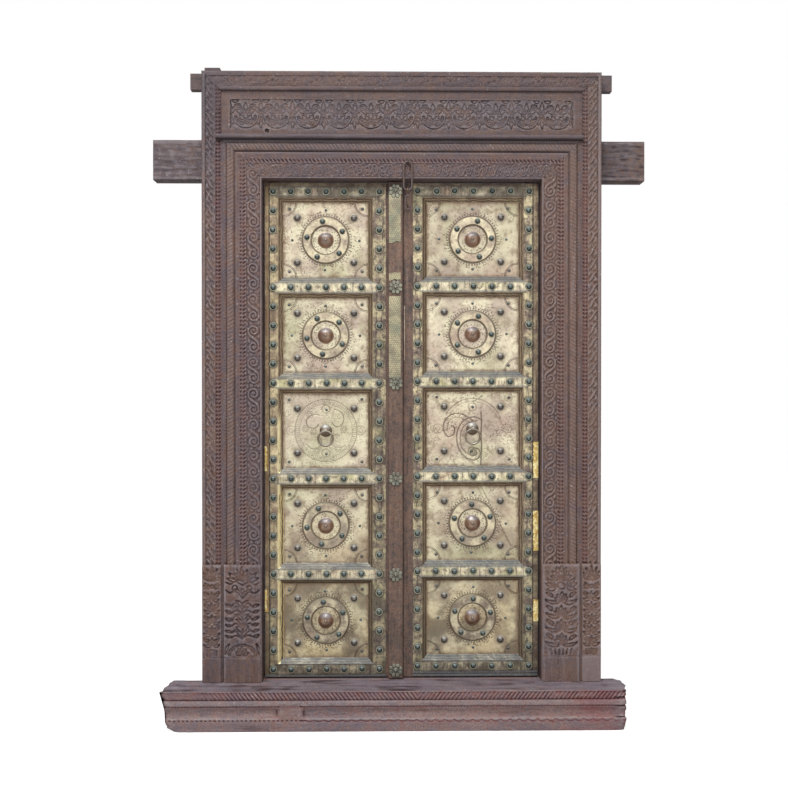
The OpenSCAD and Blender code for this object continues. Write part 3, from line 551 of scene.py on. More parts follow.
carved_wood = wood_material("carved_wood", WOOD_TINTS, True, (70, 70, 7))
level_wood = wood_material("level_carved_wood", WOOD_TINTS, True, (7, 70, 70))
plain_wood = wood_material("plain_wood", WOOD_TINTS, False, (7, 60, 60))
sill_wood = wood_material("sill_wood", SILL_TINTS, True, (5, 60, 60))
leaf_wood = wood_material("leaf_wood", LEAF_TINTS, False, (90, 90, 5))
pale_wood = wood_material("pale_wood", PALE_TINTS, False, (90, 90, 8))


def facing_light_tints(g, above, below, share):
    """Lays a painted reflection on the slopes that look up and painted shade on those that look down or
    aside.
    """
    side, _, up = g.axes("Normal")
    g.tint(below, g.most(g.times(up, -1.0), g.size(side)), 0.2, 0.6, share)
    g.tint(above, up, 0.2, 0.55, share)


def brass_material(name, tints, roughness, metallic, scale, above=None, below=None, rimmed=None):
    """Old brass: patches of patina, a painted reflection on what looks up and painted shade on what looks
    down or aside.

    The tints are bright, dull, patina and grime; a rim takes its own colour where it is painted."""
    bright, dull, patina, grime = tints
    g = Graph(name, bright, roughness, metallic)
    cloud = g.noise(scale, 5.0)
    fine = g.noise(scale * 9)
    g.tint(dull, cloud, 0.36, 0.66)
    g.tint(patina, g.noise(scale * 0.6, 3.0), 0.5, 0.68, 0.75)
    if rimmed:
        g.mix(rimmed, g.painted("rise"))
    g.tint(grime, fine, 0.5, 0.78, 0.75)
    # painted reflection and painted shade by the way each face looks
    if above:
        facing_light_tints(g, above, below, 0.85)
    g.gloss(cloud, roughness - 0.08, roughness + 0.14)
    g.bump(g.plus(cloud, g.times(fine, 0.25)), 0.0025)
    return g.finish()


def iron_material():
    g = Graph("iron", (88, 80, 80), 0.55, 0.6)
    rust = g.noise(90.0)
    g.tint((108, 84, 70), rust, 0.4, 0.7)
    g.bump(rust, 0.0008)
    return g.finish()


iron = iron_material()
# the two colours after each brass's scale are painted light: a reflection on faces that look up, shade on
# faces that look down or aside
stud_brass = brass_material(
    "stud_brass", ((92, 104, 100), (72, 80, 78), (76, 92, 90), (42, 44, 42)), 0.5, 0.45, 40.0,
    (122, 132, 132), (38, 40, 40), (144, 140, 118)
)
boss_brass = brass_material(
    "boss_brass", ((150, 128, 108), (110, 90, 80), (112, 104, 98), (66, 52, 46)), 0.38, 0.6, 60.0,
    (140, 136, 138), (118, 84, 62)
)
dome_brass = brass_material(
    "dome_brass", ((122, 116, 108), (92, 88, 84), (100, 102, 96), (56, 50, 48)), 0.46, 0.5, 40.0,
    (152, 150, 146), (80, 70, 66), (158, 148, 128)
)
pull_brass = brass_material(
    "pull_brass", ((146, 136, 118), (116, 104, 90), (128, 128, 118), (70, 58, 52)), 0.42, 0.65, 40.0,
    (158, 158, 156), (100, 82, 64)
)
cover_brass = brass_material(
    "cover_brass", ((190, 180, 146), (150, 142, 120), (128, 134, 116), (84, 74, 62)), 0.48, 0.6, 24.0,
    rimmed=(108, 102, 86)
)
rosette_brass = brass_material(
    "rosette_brass", ((146, 144, 126), (112, 110, 98), (104, 110, 104), (60, 56, 50)), 0.48, 0.55, 40.0,
    (142, 144, 136), (54, 48, 44)
)

# The tints of a sheet are bright, dull, olive, copper and grime
# colour of the painted reflection on slopes that look up
SLATE_REFLECTION = (116, 122, 126)
# grime colour, also laid as painted shade round the studs
GRIME_AND_SHADE = (58, 48, 46)
CLAD_TINTS = ((206, 192, 154), (126, 110, 100), (120, 116, 88), (124, 96, 88), GRIME_AND_SHADE)
STRAP_TINTS = ((232, 222, 188), (188, 176, 152), (188, 182, 136), (190, 160, 134), (104, 90, 78))
EDGE_TINT = {"left": (122, 94, 66), "right": (104, 82, 70)}
FOLD_LINE = 1.4 * MM
# reach of the painted shade and grime round the studs
STUD_SHADE_HALO = (19.0 * MM, 12.5 * MM)
RIBS = 15.0
STILE_TURN = -0.23
GLEAM_TOP = 0.75
GLEAM_X = -0.32
GLEAM_BAND = (-0.3985, 0.0055, 1.0)
FOOT_LINES = 620.0
# the brass grows darker from this height down to the next
DARKENING_TOP = 0.85
DARKENING_FOOT = 0.2


def sheet_graph(name, tints, roughness):
    """Beaten sheet: bright and dull clouds, olive and copper patches and dark grime in streaks."""
    bright, dull, olive, copper, grime = tints
    g = Graph(name, bright, roughness, 0.55)
    cloud = g.noise(26.0, 5.0)
    patch = g.noise(12.0)
    grain = g.noise(75.0)
    g.tint(dull, cloud, 0.36, 0.62)
    g.tint(olive, patch, 0.5, 0.66, 0.8)
    g.tint(copper, patch, 0.44, 0.3, 0.7)
    g.tint(grime, g.noise(1.0, 5.0, g.stretched((90, 90, 11)), 0.7), 0.48, 0.66, 0.8)
    g.tint(grime, grain, 0.5, 0.66, 0.7)
    g.tint(grime, g.noise(170.0), 0.5, 0.75, 0.6)
    g.gloss(cloud, 0.4, 0.6)
    g.bump(g.plus(cloud, g.times(grain, 0.5)), 0.004, 0.7)
    return g


def near_studs(g, place, x, z):
    """Distance from the studs along a leaf's stiles, in metres."""
    along = g.from_nearest(z, place["rails"][0] * MM, place["pitch"] / STUDS_PER_PANEL * MM)
    across = g.math("MINIMUM", *(g.gap(x, at * MM) for at in place["studs"]))
    return g.length(along, across)


def rib_tints(g, place, y):
    """Draws the ribs along the slopes round the panels and returns them."""
    into = g.math("DIVIDE", g.minus(y, place["clad_y"] * MM), (place["panel_y"] - place["clad_y"]) * MM)
    bent = g.plus(into, g.span(g.noise(40.0, 3.0), 0.3, 0.7, -0.09, 0.09))
    ribs = g.math("SINE", g.times(bent, RIBS))
    on_slope = g.times(g.span(into, 0.02, 0.08), g.span(g.axes("Normal")[2], 0.2, 0.5, 1.0, 0.45))
    g.mix((44, 38, 36), g.span(ribs, -0.2, -0.95, 0.0, 0.7), on_slope)
    g.mix((186, 174, 138), g.span(ribs, 0.4, 1.0, 0.0, 0.4), on_slope)
    return ribs


def fold_tints(g, side, place, x):
    """Darkens the fold of the cladding along the hanging edge, with another tone outside it."""
    hang, inward = (place["clad"][0], 1) if side == "left" else (place["clad"][1], -1)
    fold = (hang + inward * FOLD_IN[side]) * MM
    outer = g.times(g.minus(fold, x), float(inward))
    g.tint(EDGE_TINT[side], outer, 0.0, 0.001, 0.55)
    g.tint((44, 34, 30), g.gap(x, fold), 2 * FOLD_LINE, FOLD_LINE, 0.85)


def gleam_tints(g, x, z, ribs):
    """Light on the left leaf's hanging stile: a torn band, and the ribs of its lower slopes."""
    middle, half, top = GLEAM_BAND
    band = g.times(g.span(g.gap(x, middle), half, half * 0.5), g.span(z, top, top - 0.05))
    g.mix((246, 232, 184), band, g.span(g.noise(30.0), 0.36, 0.52, 0.2, 0.85))
    gleam = g.times(g.span(z, GLEAM_TOP, GLEAM_TOP - 0.04), g.span(ribs, -0.2, 0.6, 0.0, 0.9))
    aside = g.span(g.size(g.axes("Normal")[0]), 0.2, 0.4, 0.0, 0.75)
    g.mix((232, 210, 146), g.times(gleam, aside), g.span(x, GLEAM_X, GLEAM_X - 0.004))


def clad_material(side, place):
    """Brown brass over a leaf's stiles and slopes, with ribs on the slopes and a fold at the hanging edge."""
    g = sheet_graph(side + "_clad_brass", CLAD_TINTS, 0.5)
    x, y, z = g.axes("Object")
    if side == "left":
        meeting = g.span(x, STILE_TURN - 0.05, STILE_TURN + 0.05)
        g.mix(GRIME_AND_SHADE, meeting, 0.22)
        g.tint((226, 196, 150), meeting, 1.0, 0.0, 0.16)
    # painted shade and grime in halos round the studs
    g.tint(GRIME_AND_SHADE, near_studs(g, place, x, z), *STUD_SHADE_HALO, 0.6)
    # painted reflection on the slopes that look up and painted shade on those that look down or aside
    facing_light_tints(g, SLATE_REFLECTION, (128, 105, 86), 0.75)
    ribs = rib_tints(g, place, y)
    fold_tints(g, side, place, x)
    g.tint((70, 66, 58), z, DARKENING_TOP, DARKENING_FOOT, 0.35)
    if side == "left":
        gleam_tints(g, x, z, ribs)
    foot, crest = place["rails"][0] * MM, place["rails"][5] * MM
    lines = g.span(g.math("SINE", g.times(z, FOOT_LINES)), -0.3, -0.9)
    g.tint(g.blend(lines, (112, 116, 120), (46, 42, 42)), z, foot - 0.015, foot - 0.018, 0.85)
    g.tint((84, 66, 56), z, crest + 0.014, crest + 0.018, 0.7)
    return g.finish()


def strap_material(side, place):
    """Paler brass of the rails, grey along its edges, darker on the top rail and the lowest ones."""
    g = sheet_graph(side + "_strap_brass", STRAP_TINTS, 0.48)
    z = g.axes("Object")[2]
    rails = [rail * MM for rail in place["rails"]]
    g.tint((112, 112, 108), g.from_nearest(z, rails[0], place["pitch"] * MM), 0.0095, 0.0165, 0.8)
    dark_top_rail = g.span(z, rails[4] + 0.1, rails[5] - 0.03, 0.0, 0.75)
    dark_low_rails = g.span(z, rails[1] + 0.05, rails[0] + 0.03, 0.0, 0.78)
    g.mix((74, 64, 58), g.most(dark_top_rail, dark_low_rails), g.span(g.noise(24.0), 0.3, 0.6, 0.35, 1.1))
    # painted reflection on the slopes that look up and painted shade on those that look down or aside
    facing_light_tints(g, SLATE_REFLECTION, (70, 56, 48), 0.85)
    return g.finish()


def patch_material(side):
    """Newer brass over the hanging edge, torn and stained; on the left leaf it shows as a thin line."""
    g = Graph(side + "_patch_brass", (244, 230, 172), 0.36, 0.6)
    low, high = box_mm(side + "_edge_patches")
    crumpled = g.noise(70.0)
    g.tint((206, 172, 96), crumpled, 0.36, 0.62)
    g.tint((120, 92, 58), g.noise(150.0, 3.0), 0.56, 0.7, 0.75)
    into = g.math("DIVIDE", g.minus(g.axes("Object")[0], low[0] * MM), (high[0] - low[0]) * MM)
    ragged = g.plus(into, g.span(g.noise(90.0, 3.0), 0.3, 0.7, -0.16, 0.16))
    if side == "left":
        g.tint(EDGE_TINT[side], ragged, 0.42, 0.55, 0.85)
    else:
        g.tint((92, 66, 50), ragged, 0.1, 0.02, 0.8)
    g.bump(crumpled, 0.004)
    return g.finish()


def ring_material():
    """Mottled brass of the boss rings, darker towards the foot of the leaf, with painted reflection and shade
    on its slopes.
    """
    g = Graph("ring_brass", (216, 204, 172), 0.44, 0.6)
    cloud = g.noise(30.0, 5.0)
    g.tint((164, 150, 132), cloud, 0.36, 0.64)
    g.tint((172, 148, 130), g.noise(12.0), 0.5, 0.66, 0.6)
    g.tint((118, 102, 90), g.noise(90.0), 0.5, 0.7, 0.6)
    low = g.span(g.axes("Object")[2], DARKENING_TOP, DARKENING_FOOT, 0.0, 0.66)
    g.mix((104, 92, 80), low, g.span(cloud, 0.35, 0.6, 0.5, 1.3))
    g.bump(cloud, 0.003)
    # painted reflection on the slopes that look up and painted shade on those that look down or aside
    facing_light_tints(g, (172, 168, 152), (146, 130, 108), 0.7)
    return g.finish()


# A panel's tone darkens it, or lightens it where it is negative, from the lowest panel up
PANEL_TONES = {"left": (0.08, 0.0, -0.25, 0.0, 0.04), "right": (-0.16, 0.04, 0.04, -0.08, 0.28)}
PANEL_DARK = (106, 92, 72)
PANEL_PALE = (240, 230, 202)
SCRATCHED_ROW = 1
SCRATCHES = ((0.892, 0.451, 0.799, 0.7), (0.872, 0.489, 0.72, 0.45))
PANEL_EDGE = 0.13


class Panel(Graph):
    """Material of a leaf's panels, drawn from each panel's own coordinates in decimetres."""

    def __init__(self, name, place):
        super().__init__(name, (220, 211, 182), 0.44, 0.6)
        self.u, self.v, _ = self.parts(self.node("UVMap", uv_map="panel").outputs["UV"])
        self.first, self.pitch = place["panels"][0] * MM, place["pitch"] * MM
        low, high = place["sheet"]
        self.half_w = (high[0] - low[0]) / 200
        self.half_h = (high[2] - low[2] - 4 * place["pitch"]) / 200
        self.pits = self.span(self.cells(170.0), 0.38, 0.2)

    def away(self, at_u, at_v):
        """Distance from a point that repeats in all four quarters."""
        return self.length(self.minus(self.size(self.u), at_u), self.minus(self.size(self.v), at_v))

    def on_row(self, row):
        middle = self.gap(self.axes("Object")[2], self.first + row * self.pitch)
        return self.span(middle, self.pitch * 0.5, self.pitch * 0.48)

    def rings(self):
        """Engraved rings about a boss, with ticks and punched dots, and quarter rings in the corners."""
        corner = self.away(self.half_w, self.half_h)
        radius = self.away(0.0, 0.0)
        ticks = self.math("SINE", self.times(self.math("ARCTAN2", self.v, self.u), 58.0))
        punched = self.most(self.between(radius, 0.28, 0.45), self.between(radius, 0.8, 0.97))
        cut = self.most(self.line(corner, 0.42, 0.011), self.line(corner, 0.46, 0.007))
        cut = self.most(cut, self.times(self.span(ticks, 0.3, 0.8), self.between(radius, 0.79, 0.86)))
        cut = self.most(cut, self.times(self.pits, punched))
        for at in (0.768, 0.462):
            cut = self.most(cut, self.line(radius, at, 0.018))
        return cut

    def scratched(self, cut):
        """Cut lines with the long scratches of one panel."""
        for across, up, at, share in SCRATCHES:
            value = self.plus(self.times(self.u, across), self.times(self.v, up))
            mark = self.times(self.line(value, at, 0.014), self.on_row(SCRATCHED_ROW))
            cut = self.most(cut, self.times(mark, self.span(self.v, -0.95, -0.6, 0.0, share)))
        return cut


def panel_material(side, place, medallion):
    """Pale brass sheet with its engraving, darker towards the foot of the leaf, with painted shade and grime
    at its edges and round its domes and nails.
    """
    g = Panel(side + ("_medallion_brass" if medallion else "_panel_brass"), place)
    cloud = g.noise(9.0, 5.0)
    tint = g.noise(5.0)
    grain = g.noise(48.0, 5.0)
    strewn = g.span(g.noise(16.0, 3.0), 0.4, 0.56) if medallion else g.span(g.noise(13.0, 3.0), 0.5, 0.66)
    scattered = g.times(g.pits, strewn)
    cut = g.painted("cut") if medallion else g.rings()
    g.tint((182, 166, 150), cloud, 0.4, 0.62)
    g.tint((176, 172, 136), tint, 0.5, 0.64, 0.7)
    g.tint((196, 172, 152), tint, 0.46, 0.32, 0.55)
    g.tint((128, 108, 88), grain, 0.5, 0.7, 0.6)
    g.tint((122, 102, 84), g.noise(120.0, 3.0), 0.5, 0.76, 0.6)
    g.mix((84, 68, 58), scattered, 0.75)
    for row, tone in enumerate(PANEL_TONES[side]):
        g.mix(PANEL_DARK if tone > 0 else PANEL_PALE, g.on_row(row), abs(tone))
    if side == "right":
        cut = g.scratched(cut)
    low = g.span(g.axes("Object")[2], DARKENING_TOP, DARKENING_FOOT, 0.0, 0.62)
    g.mix((206, 178, 112), low, g.span(tint, 0.6, 0.4, 0.1, 0.6))
    g.mix((100, 90, 74), low, g.span(cloud, 0.36, 0.6, 0.35, 1.4))
    # painted shade and grime round the domes and nails and along the panel's edges
    stain = g.span(g.away(DOME_X / 100, DOME_Z / 100), 0.29, 0.13, 0.0, 0.6)
    g.mix((142, 124, 106), stain, g.span(grain, 0.35, 0.6, 0.5, 1.0))
    g.tint((120, 96, 80), g.away(NAIL_X / 100, NAIL_Z / 100), 0.1, 0.04, 0.6)
    edge_u = g.span(g.size(g.u), g.half_w - PANEL_EDGE, g.half_w)
    edge_v = g.span(g.size(g.v), g.half_h - PANEL_EDGE, g.half_h)
    g.mix((120, 98, 78), g.most(edge_u, edge_v), g.span(grain, 0.35, 0.6, 0.4, 1.0))
    g.mix((80, 66, 56), cut, 0.9 if medallion else 0.8)
    g.gloss(cloud, 0.34, 0.54)
    dents = g.plus(cloud, g.times(grain, 0.45))
    g.bump(g.minus(dents, g.times(g.most(cut, scattered), 0.35)), 0.0034, 0.7)
    return g.finish()


# Carving of the frame


def scroll_rows(half_band, period):
    """S-scroll about s = 0: two volutes that nearly fill the band, joined by a stem, with leaves between."""
    quarter = period / 4
    fine = period / SCROLL_PERIOD
    volute = spiral((0, quarter), (half_band * 0.8, 20.0 * fine), -52, 560, 0.8, 60)
    stem = curve([-volute[0], (-half_band * 0.2, -3), (half_band * 0.2, 3), volute[0]], 20)
    rows = [stroke(stem, 8.0 * fine + 1, RELIEF)]
    for sign in (1, -1):
        rows.append(stroke(sign * volute, np.linspace(7.8, 5.4, len(volute)) * (0.3 + 0.7 * fine), RELIEF))
        rows.append(dot((0, sign * quarter), 7.0 * fine, RELIEF))
        outside = sign * half_band
        rows.append(leaf((-outside * 0.72, sign * 1), 95 * sign, 13 * fine, 9, RELIEF * 0.9, 0.25 * sign))
        rows.append(leaf((-outside * 0.5, sign * 46 * fine), 150 * sign, 12, 8 * fine, RELIEF * 0.9))
        base = (outside * 0.86, sign * 40 * fine)
        rows.append(leaf(base, 80 * sign, 13 * fine, 8, RELIEF * 0.9, 0.2 * sign))
        for angle in (20, 62, 104, 146):
            a = math.radians(angle)
            at = (sign * half_band * 0.95 * math.cos(a), sign * (quarter + 25 * fine * math.sin(a)))
            rows.append(dot(at, 7.0 * fine, RELIEF * 0.8))
    return np.concatenate(rows)


def strip_rows(half_band):
    """One leaning acanthus leaf of the outer strips, with its companions on both sides."""
    swell = np.concatenate([np.linspace(3, 8.5, 9), np.linspace(8.5, 3, 9)])
    spine = curve([(-half_band * 0.85, -19), (-4, -9), (4, 6), (half_band * 0.85, 16)], 18)
    rows = [stroke(spine, swell, RELIEF)]
    for sign in (1, -1):
        rows.append(leaf((sign * half_band * 0.85, -sign * 17), 100 * sign, 17, 7.0, RELIEF * 0.9, 0.3))
        rows.append(leaf((sign * half_band * 0.45, -sign * 19), 88 * sign, 13, 6.0, RELIEF * 0.9, -0.2))
        rows.append(leaf((sign * half_band * 0.2, -sign * 19), 62 * sign, 13, 6.0, RELIEF * 0.85, -0.2))
        rows.append(dot((sign * half_band * 0.85, -sign * 19), 6.0, RELIEF * 0.8))
    return np.concatenate(rows)


def leaf_lines(base, angle, length, width, bend=0.0, rib=0.55):
    """Cut outline of a leaf with its midrib."""
    t = np.linspace(0, 1, int(10 + length / 2.2))
    way = math.radians(angle) + bend * (t - 0.5) * 2
    step = np.column_stack([np.cos(way), np.sin(way)])
    spine = np.array(base) + np.cumsum(step, axis=0) * length / len(t)
    swell = width / 2 * np.sin(np.pi * t ** 0.85)
    normal = np.column_stack([-step[:, 1], step[:, 0]])
    edges = [stroke(spine + side * normal * swell[:, None], INCISED_W, 1.0) for side in (-1, 1)]
    return np.concatenate(edges + [stroke(spine[: int(len(t) * 0.7)], INCISED_W * 0.8, rib)])


def fan_lines(base, middle, spread, count, length, width):
    """Outlines of leaves spread about a direction from one base, the outer ones shorter."""
    rows = []
    for turn in np.linspace(-spread, spread, count):
        reach = length * (1 - 0.25 * abs(turn) / max(spread, 1))
        rows.append(leaf_lines(base, middle + turn, reach, width))
    return np.concatenate(rows)


def ring_lines(centre, radius, start=0, turn=360):
    count = int(10 + radius * abs(turn) / 110)
    return stroke(spiral(centre, (radius, radius), start, turn, 0.0, count), INCISED_W, 1.0)


def base_tree(half_w, height, tiers):
    """Cut lines of a base block's field: stacked palmettes with curled leaves and a ring flower above a
    fluted foot."""
    rows = []
    step = height * 0.62 / tiers
    for k in range(tiers):
        z = height * 0.12 + k * step
        rows.append(fan_lines((0, z), 90, 58, 5, step * 0.74, half_w * 0.26))
        rows.append(mirrored(leaf_lines((half_w * 0.1, z - 2), 14, half_w * 0.88, step * 0.22, 0.5)))
        rows.append(mirrored(leaf_lines((half_w * 0.5, z + step * 0.3), 40, half_w * 0.5, step * 0.22, -0.5)))
        curl = spiral((half_w * 0.74, z + step * 0.66), (step * 0.15, step * 0.12), 200, 400, 0.5, 24)
        rows.append(mirrored(stroke(curl, INCISED_W, 0.9)))
    flower_z = height * 0.775
    rows.append(ring_lines((0, flower_z), half_w * 0.2))
    for angle in (-24, 8, 36):
        rows.append(mirrored(leaf_lines((half_w * 0.24, flower_z), angle, half_w * 0.68, half_w * 0.24, 0.3)))
    rows.append(fan_lines((0, height * 0.84), 90, 72, 7, height * 0.155, half_w * 0.28))
    for at in (-0.5, -0.3, -0.1, 0.1, 0.3, 0.5):
        rows.append(stroke(curve([(half_w * at, 0), (half_w * at * 1.2, height * 0.07)], 16), INCISED_W, 0.8))
    return np.concatenate(rows)


def wave_lines(half_w, points):
    """Cut line through points, given as shares of the half width and heights, with its reflection."""
    return mirrored(stroke(curve([(half_w * share, z) for share, z in points], 30), INCISED_W, 1.0))


# Height, swing and crest of each tier of leaves on the left block
WAVE_TIERS = ((0.215, 5, 0.35), (0.275, 8, 0.3), (0.345, 5, 0.42), (0.41, 9, 0.34), (0.485, 6, 0.3),
              (0.55, 8, 0.38))


def base_waves(half_w, height):
    """Cut lines of the left block: broad leaf tiers between a palmette over a winged bud above and a
    seeded arch below."""
    rows = []
    for share, swing, crest in WAVE_TIERS:
        z = height * share
        rows.append(wave_lines(half_w, ((0, z - swing), (crest, z + swing), (0.68, z - swing * 0.6),
                                        (0.98, z + swing * 0.5))))
        rows.append(mirrored(leaf_lines((half_w * 0.06, z - swing + 4), 48, half_w * 0.5, 9, -0.7, 0.3)))
        rows.append(mirrored(leaf_lines((half_w * 0.62, z), 12, half_w * 0.36, 8, 0.4, 0.3)))
    for radius in (half_w * 0.8, half_w * 0.68):
        rows.append(stroke(spiral((0, 2), (radius, radius * 0.8), 0, 180, 0.0, 70), INCISED_W, 0.9))
    rows.append(fan_lines((0, 3), 90, 66, 5, half_w * 0.5, half_w * 0.22))
    rows.append(mirrored(leaf_lines((half_w * 0.98, 3), 108, height * 0.13, 9, 0.3)))
    bud_z = height * 0.64
    for lift in (0, 9):
        wing = ((0, bud_z + lift), (0.36, bud_z + 17 + lift), (0.7, bud_z + 14), (0.96, bud_z + 24))
        rows.append(wave_lines(half_w, wing))
    rows.append(mirrored(ring_lines((half_w * 0.44, bud_z + 30), 7.5)))
    rows.append(ring_lines((0, bud_z + 22), 5.0))
    brow = ((0, bud_z + 38), (0.4, bud_z + 48), (0.72, bud_z + 42), (0.97, bud_z + 50))
    rows.append(wave_lines(half_w, brow))
    rows.append(fan_lines((0, height * 0.81), 90, 42, 5, height * 0.18, half_w * 0.2))
    for angle in (38, 12):
        base = (half_w * 0.2, height * 0.83)
        rows.append(mirrored(leaf_lines(base, angle, half_w * 0.74, half_w * 0.24, 0.3)))
    return np.concatenate(rows)


def by_hand(u, s, seed, reach):
    """Places drawn slightly out of true, as carving done by eye."""
    return u + reach * rough(u, s, 34.0, seed), s + 1.6 * reach * rough(u, s, 58.0, seed + 1)


def worn(height, u, s, seed):
    """A carved height with the softening and small losses of long use."""
    soft = 0.55 + 0.55 * noise(u, s, 45.0, seed)
    return height * soft + 0.8 * rough(u, s, 8.0, seed + 3) + 0.6 * rough(u, s, 3.0, seed + 5)


def notches(u, s, centre, half_width, pitch, lean, fill):
    """Row of slanted cuts about u = centre, from 0 to 1 at the bottom of a cut."""
    return np.sqrt(bead_row(u, s, centre, half_width, pitch, lean, fill))


def mould_height(u, s, seed, lean, roped):
    """Section of the moulding: scrolls, notched cords, fillet, dark line, half-round and dotted edge.

    Returns its height, how red its cuts are and how warm its bands are."""
    h = np.zeros_like(u)
    blush = np.full_like(u, 0.12)
    warm = np.full_like(u, 0.5)
    bead_u, groove_u, round_u, back_u = MOULD_EDGES[2:6]
    scroll = (u > EDGE_W) & (u < bead_u)
    period = SCROLL_PERIOD / 2 if roped else SCROLL_PERIOD
    drawn = by_hand(u[scroll] - EDGE_W - SCROLL_W / 2, s[scroll], seed + 31, 2.2)
    relief = 0.7 if roped else 0.86
    carved = relief * emboss(*drawn, scroll_rows(SCROLL_W / 2, period), period)
    h[scroll] = worn(carved, u[scroll], s[scroll], seed) - relief * RELIEF
    beads = (u >= bead_u) & (u < groove_u)
    wavy = s + 1.2 * rough(s, u, 30.0, seed + 41)
    depth = 0.55 + 0.45 * noise(s, u, 26.0, seed + 43)
    cut = depth * notches(u, wavy, bead_u + 7, 6.4, BEAD_PITCH, lean, 0.3)
    if not roped:
        cut = np.maximum(cut, depth * notches(u, wavy, bead_u + 17.5, 3.6, BEAD_PITCH, lean, 0.27))
    h[beads] = (-0.8 - 3.6 * cut)[beads]
    blush[beads] = 0.25 + 0.75 * cut[beads]
    fillet = (u >= groove_u) & (u < round_u)
    h[fillet] = -1.6
    warm[fillet] = 0.46
    h -= (4.6 if roped else 3.2) * np.exp(-(((u - round_u + 2.5) / 2.4) ** 2))
    half_round = (u >= round_u) & (u < back_u)
    off = (u - round_u - ROUND_W / 2 + 1) / (ROUND_W / 2 - 1)
    swell = np.sqrt(np.clip(1 - off * off, 0, 1))
    strength = 2.6 if roped else 2.2
    rope = strength * twist(u, wavy, round_u + ROUND_W / 2, BEAD_PITCH, lean) * swell
    h[half_round] = (4.8 * swell - 5.4 - rope)[half_round]
    warm[half_round] = 0.72
    h[u >= back_u] = -3.2
    h -= 2.6 * depth * notches(u, wavy, back_u + 2.5, 2.6, 9.0, 0.0, 0.36)
    margin = u > back_u + 5
    h[margin] = -3.5
    warm[margin] = 0.3
    h -= np.clip(3.0 - u, 0, 3) ** 2 * 0.4
    return h + 0.5 * rough(u, s, 4.0, seed + 17), blush, warm


def with_base(h, u, s, low, high, rows, seed):
    """A member's height with the carved block at its foot, between two edges."""
    block = (s < BASE_H) & (u > low) & (u < high)
    field = (s > BASE_FOOT) & (s < BASE_H - BASE_EDGE)
    field &= (u > low + BASE_EDGE) & (u < high - BASE_EDGE)
    level = np.full_like(u, BASE_PROUD - 1)
    level -= np.clip(s - (BASE_H - 4), 0, 4)
    level -= 1.6 * np.exp(-(((s - BASE_FOOT + 3) / 2.0) ** 2))
    level -= np.clip(low + 4 - u, 0, 4) * 0.5 + np.clip(u - high + 4, 0, 4) * 0.5
    level += 0.5 * rough(u, s, 5.0, seed + 23) + 0.9 * rough(u * 4, s, 40.0, seed + 25)
    inside = field & block
    middle = (low + high) / 2
    drawn = by_hand(u[inside] - middle, s[inside] - BASE_FOOT, seed + 27, 4.2)
    cut = engrave(*drawn, rows, 2.3)
    level[inside] = BASE_PROUD - 1.6 - worn(BASE_CUT * cut, u[inside], s[inside], seed + 29)
    level[inside] += 2.2 * rough(u[inside], s[inside], 15.0, seed + 33)
    return np.where(block, level, h)


# the rise is laid into the wood's colour as painted shade in hollows and painted highlights on ridges
def rise_of(h, spread=4):
    """How high each point stands among its neighbours, from 0 in a hollow to 1 on a ridge."""
    return np.clip(0.56 + (h - blur(h, spread)) / 5.6, 0, 1)


def columns(edges, step):
    """Positions across a member that keep its band edges sharp."""
    parts = []
    for low, high in zip(edges[:-1], edges[1:]):
        count = max(2, int(round((high - low) / step)) + 1)
        parts.append(np.linspace(low + 0.05, high - 0.05, count))
    return np.concatenate(parts)


def carved_grid(u_values, start, stop, step):
    """Grid of u and s for a member whose ends may lie at other places for each u."""
    start, stop = np.broadcast_to(start, len(u_values)), np.broadcast_to(stop, len(u_values))
    count = int(np.max(stop - start) / step) + 1
    t = np.linspace(0, 1, count)[:, None]
    u = np.broadcast_to(u_values, (count, len(u_values)))
    return u.copy(), start[None, :] * (1 - t) + stop[None, :] * t


def tenons(sign):
    """Tenons of an inner jamb, above and below it."""
    middle = sign * (HALF_OPENING + HALF_INNER) / 2
    depth = (FACE_BACK + JAMB_BACK) / 2
    half_w, half_t, length = TENON[0] / 2, TENON[1] / 2, TENON[2]
    for low, high in ((SILL_TOP - length, SILL_TOP + 1), (HORN_Z - 1, HORN_Z + length)):
        yield shell_of_box((middle - half_w, depth - half_t, low), (middle + half_w, depth + half_t, high))


JAMB_SEED = {"left": 100, "right": 200}
WARMTH = {"left": 0.42, "right": 0.66}
BASE_LIGHT = {"left": 0.0, "right": 0.08}
BASE_BLUSH = 0.12
# rise paint of the jamb's reveal beside the leaf: painted shadow
REVEAL_RISE = 0.12
# painted light on the head's edge under the cornice, against the cornice's shadow
HEAD_EDGE_LIGHT = 0.3


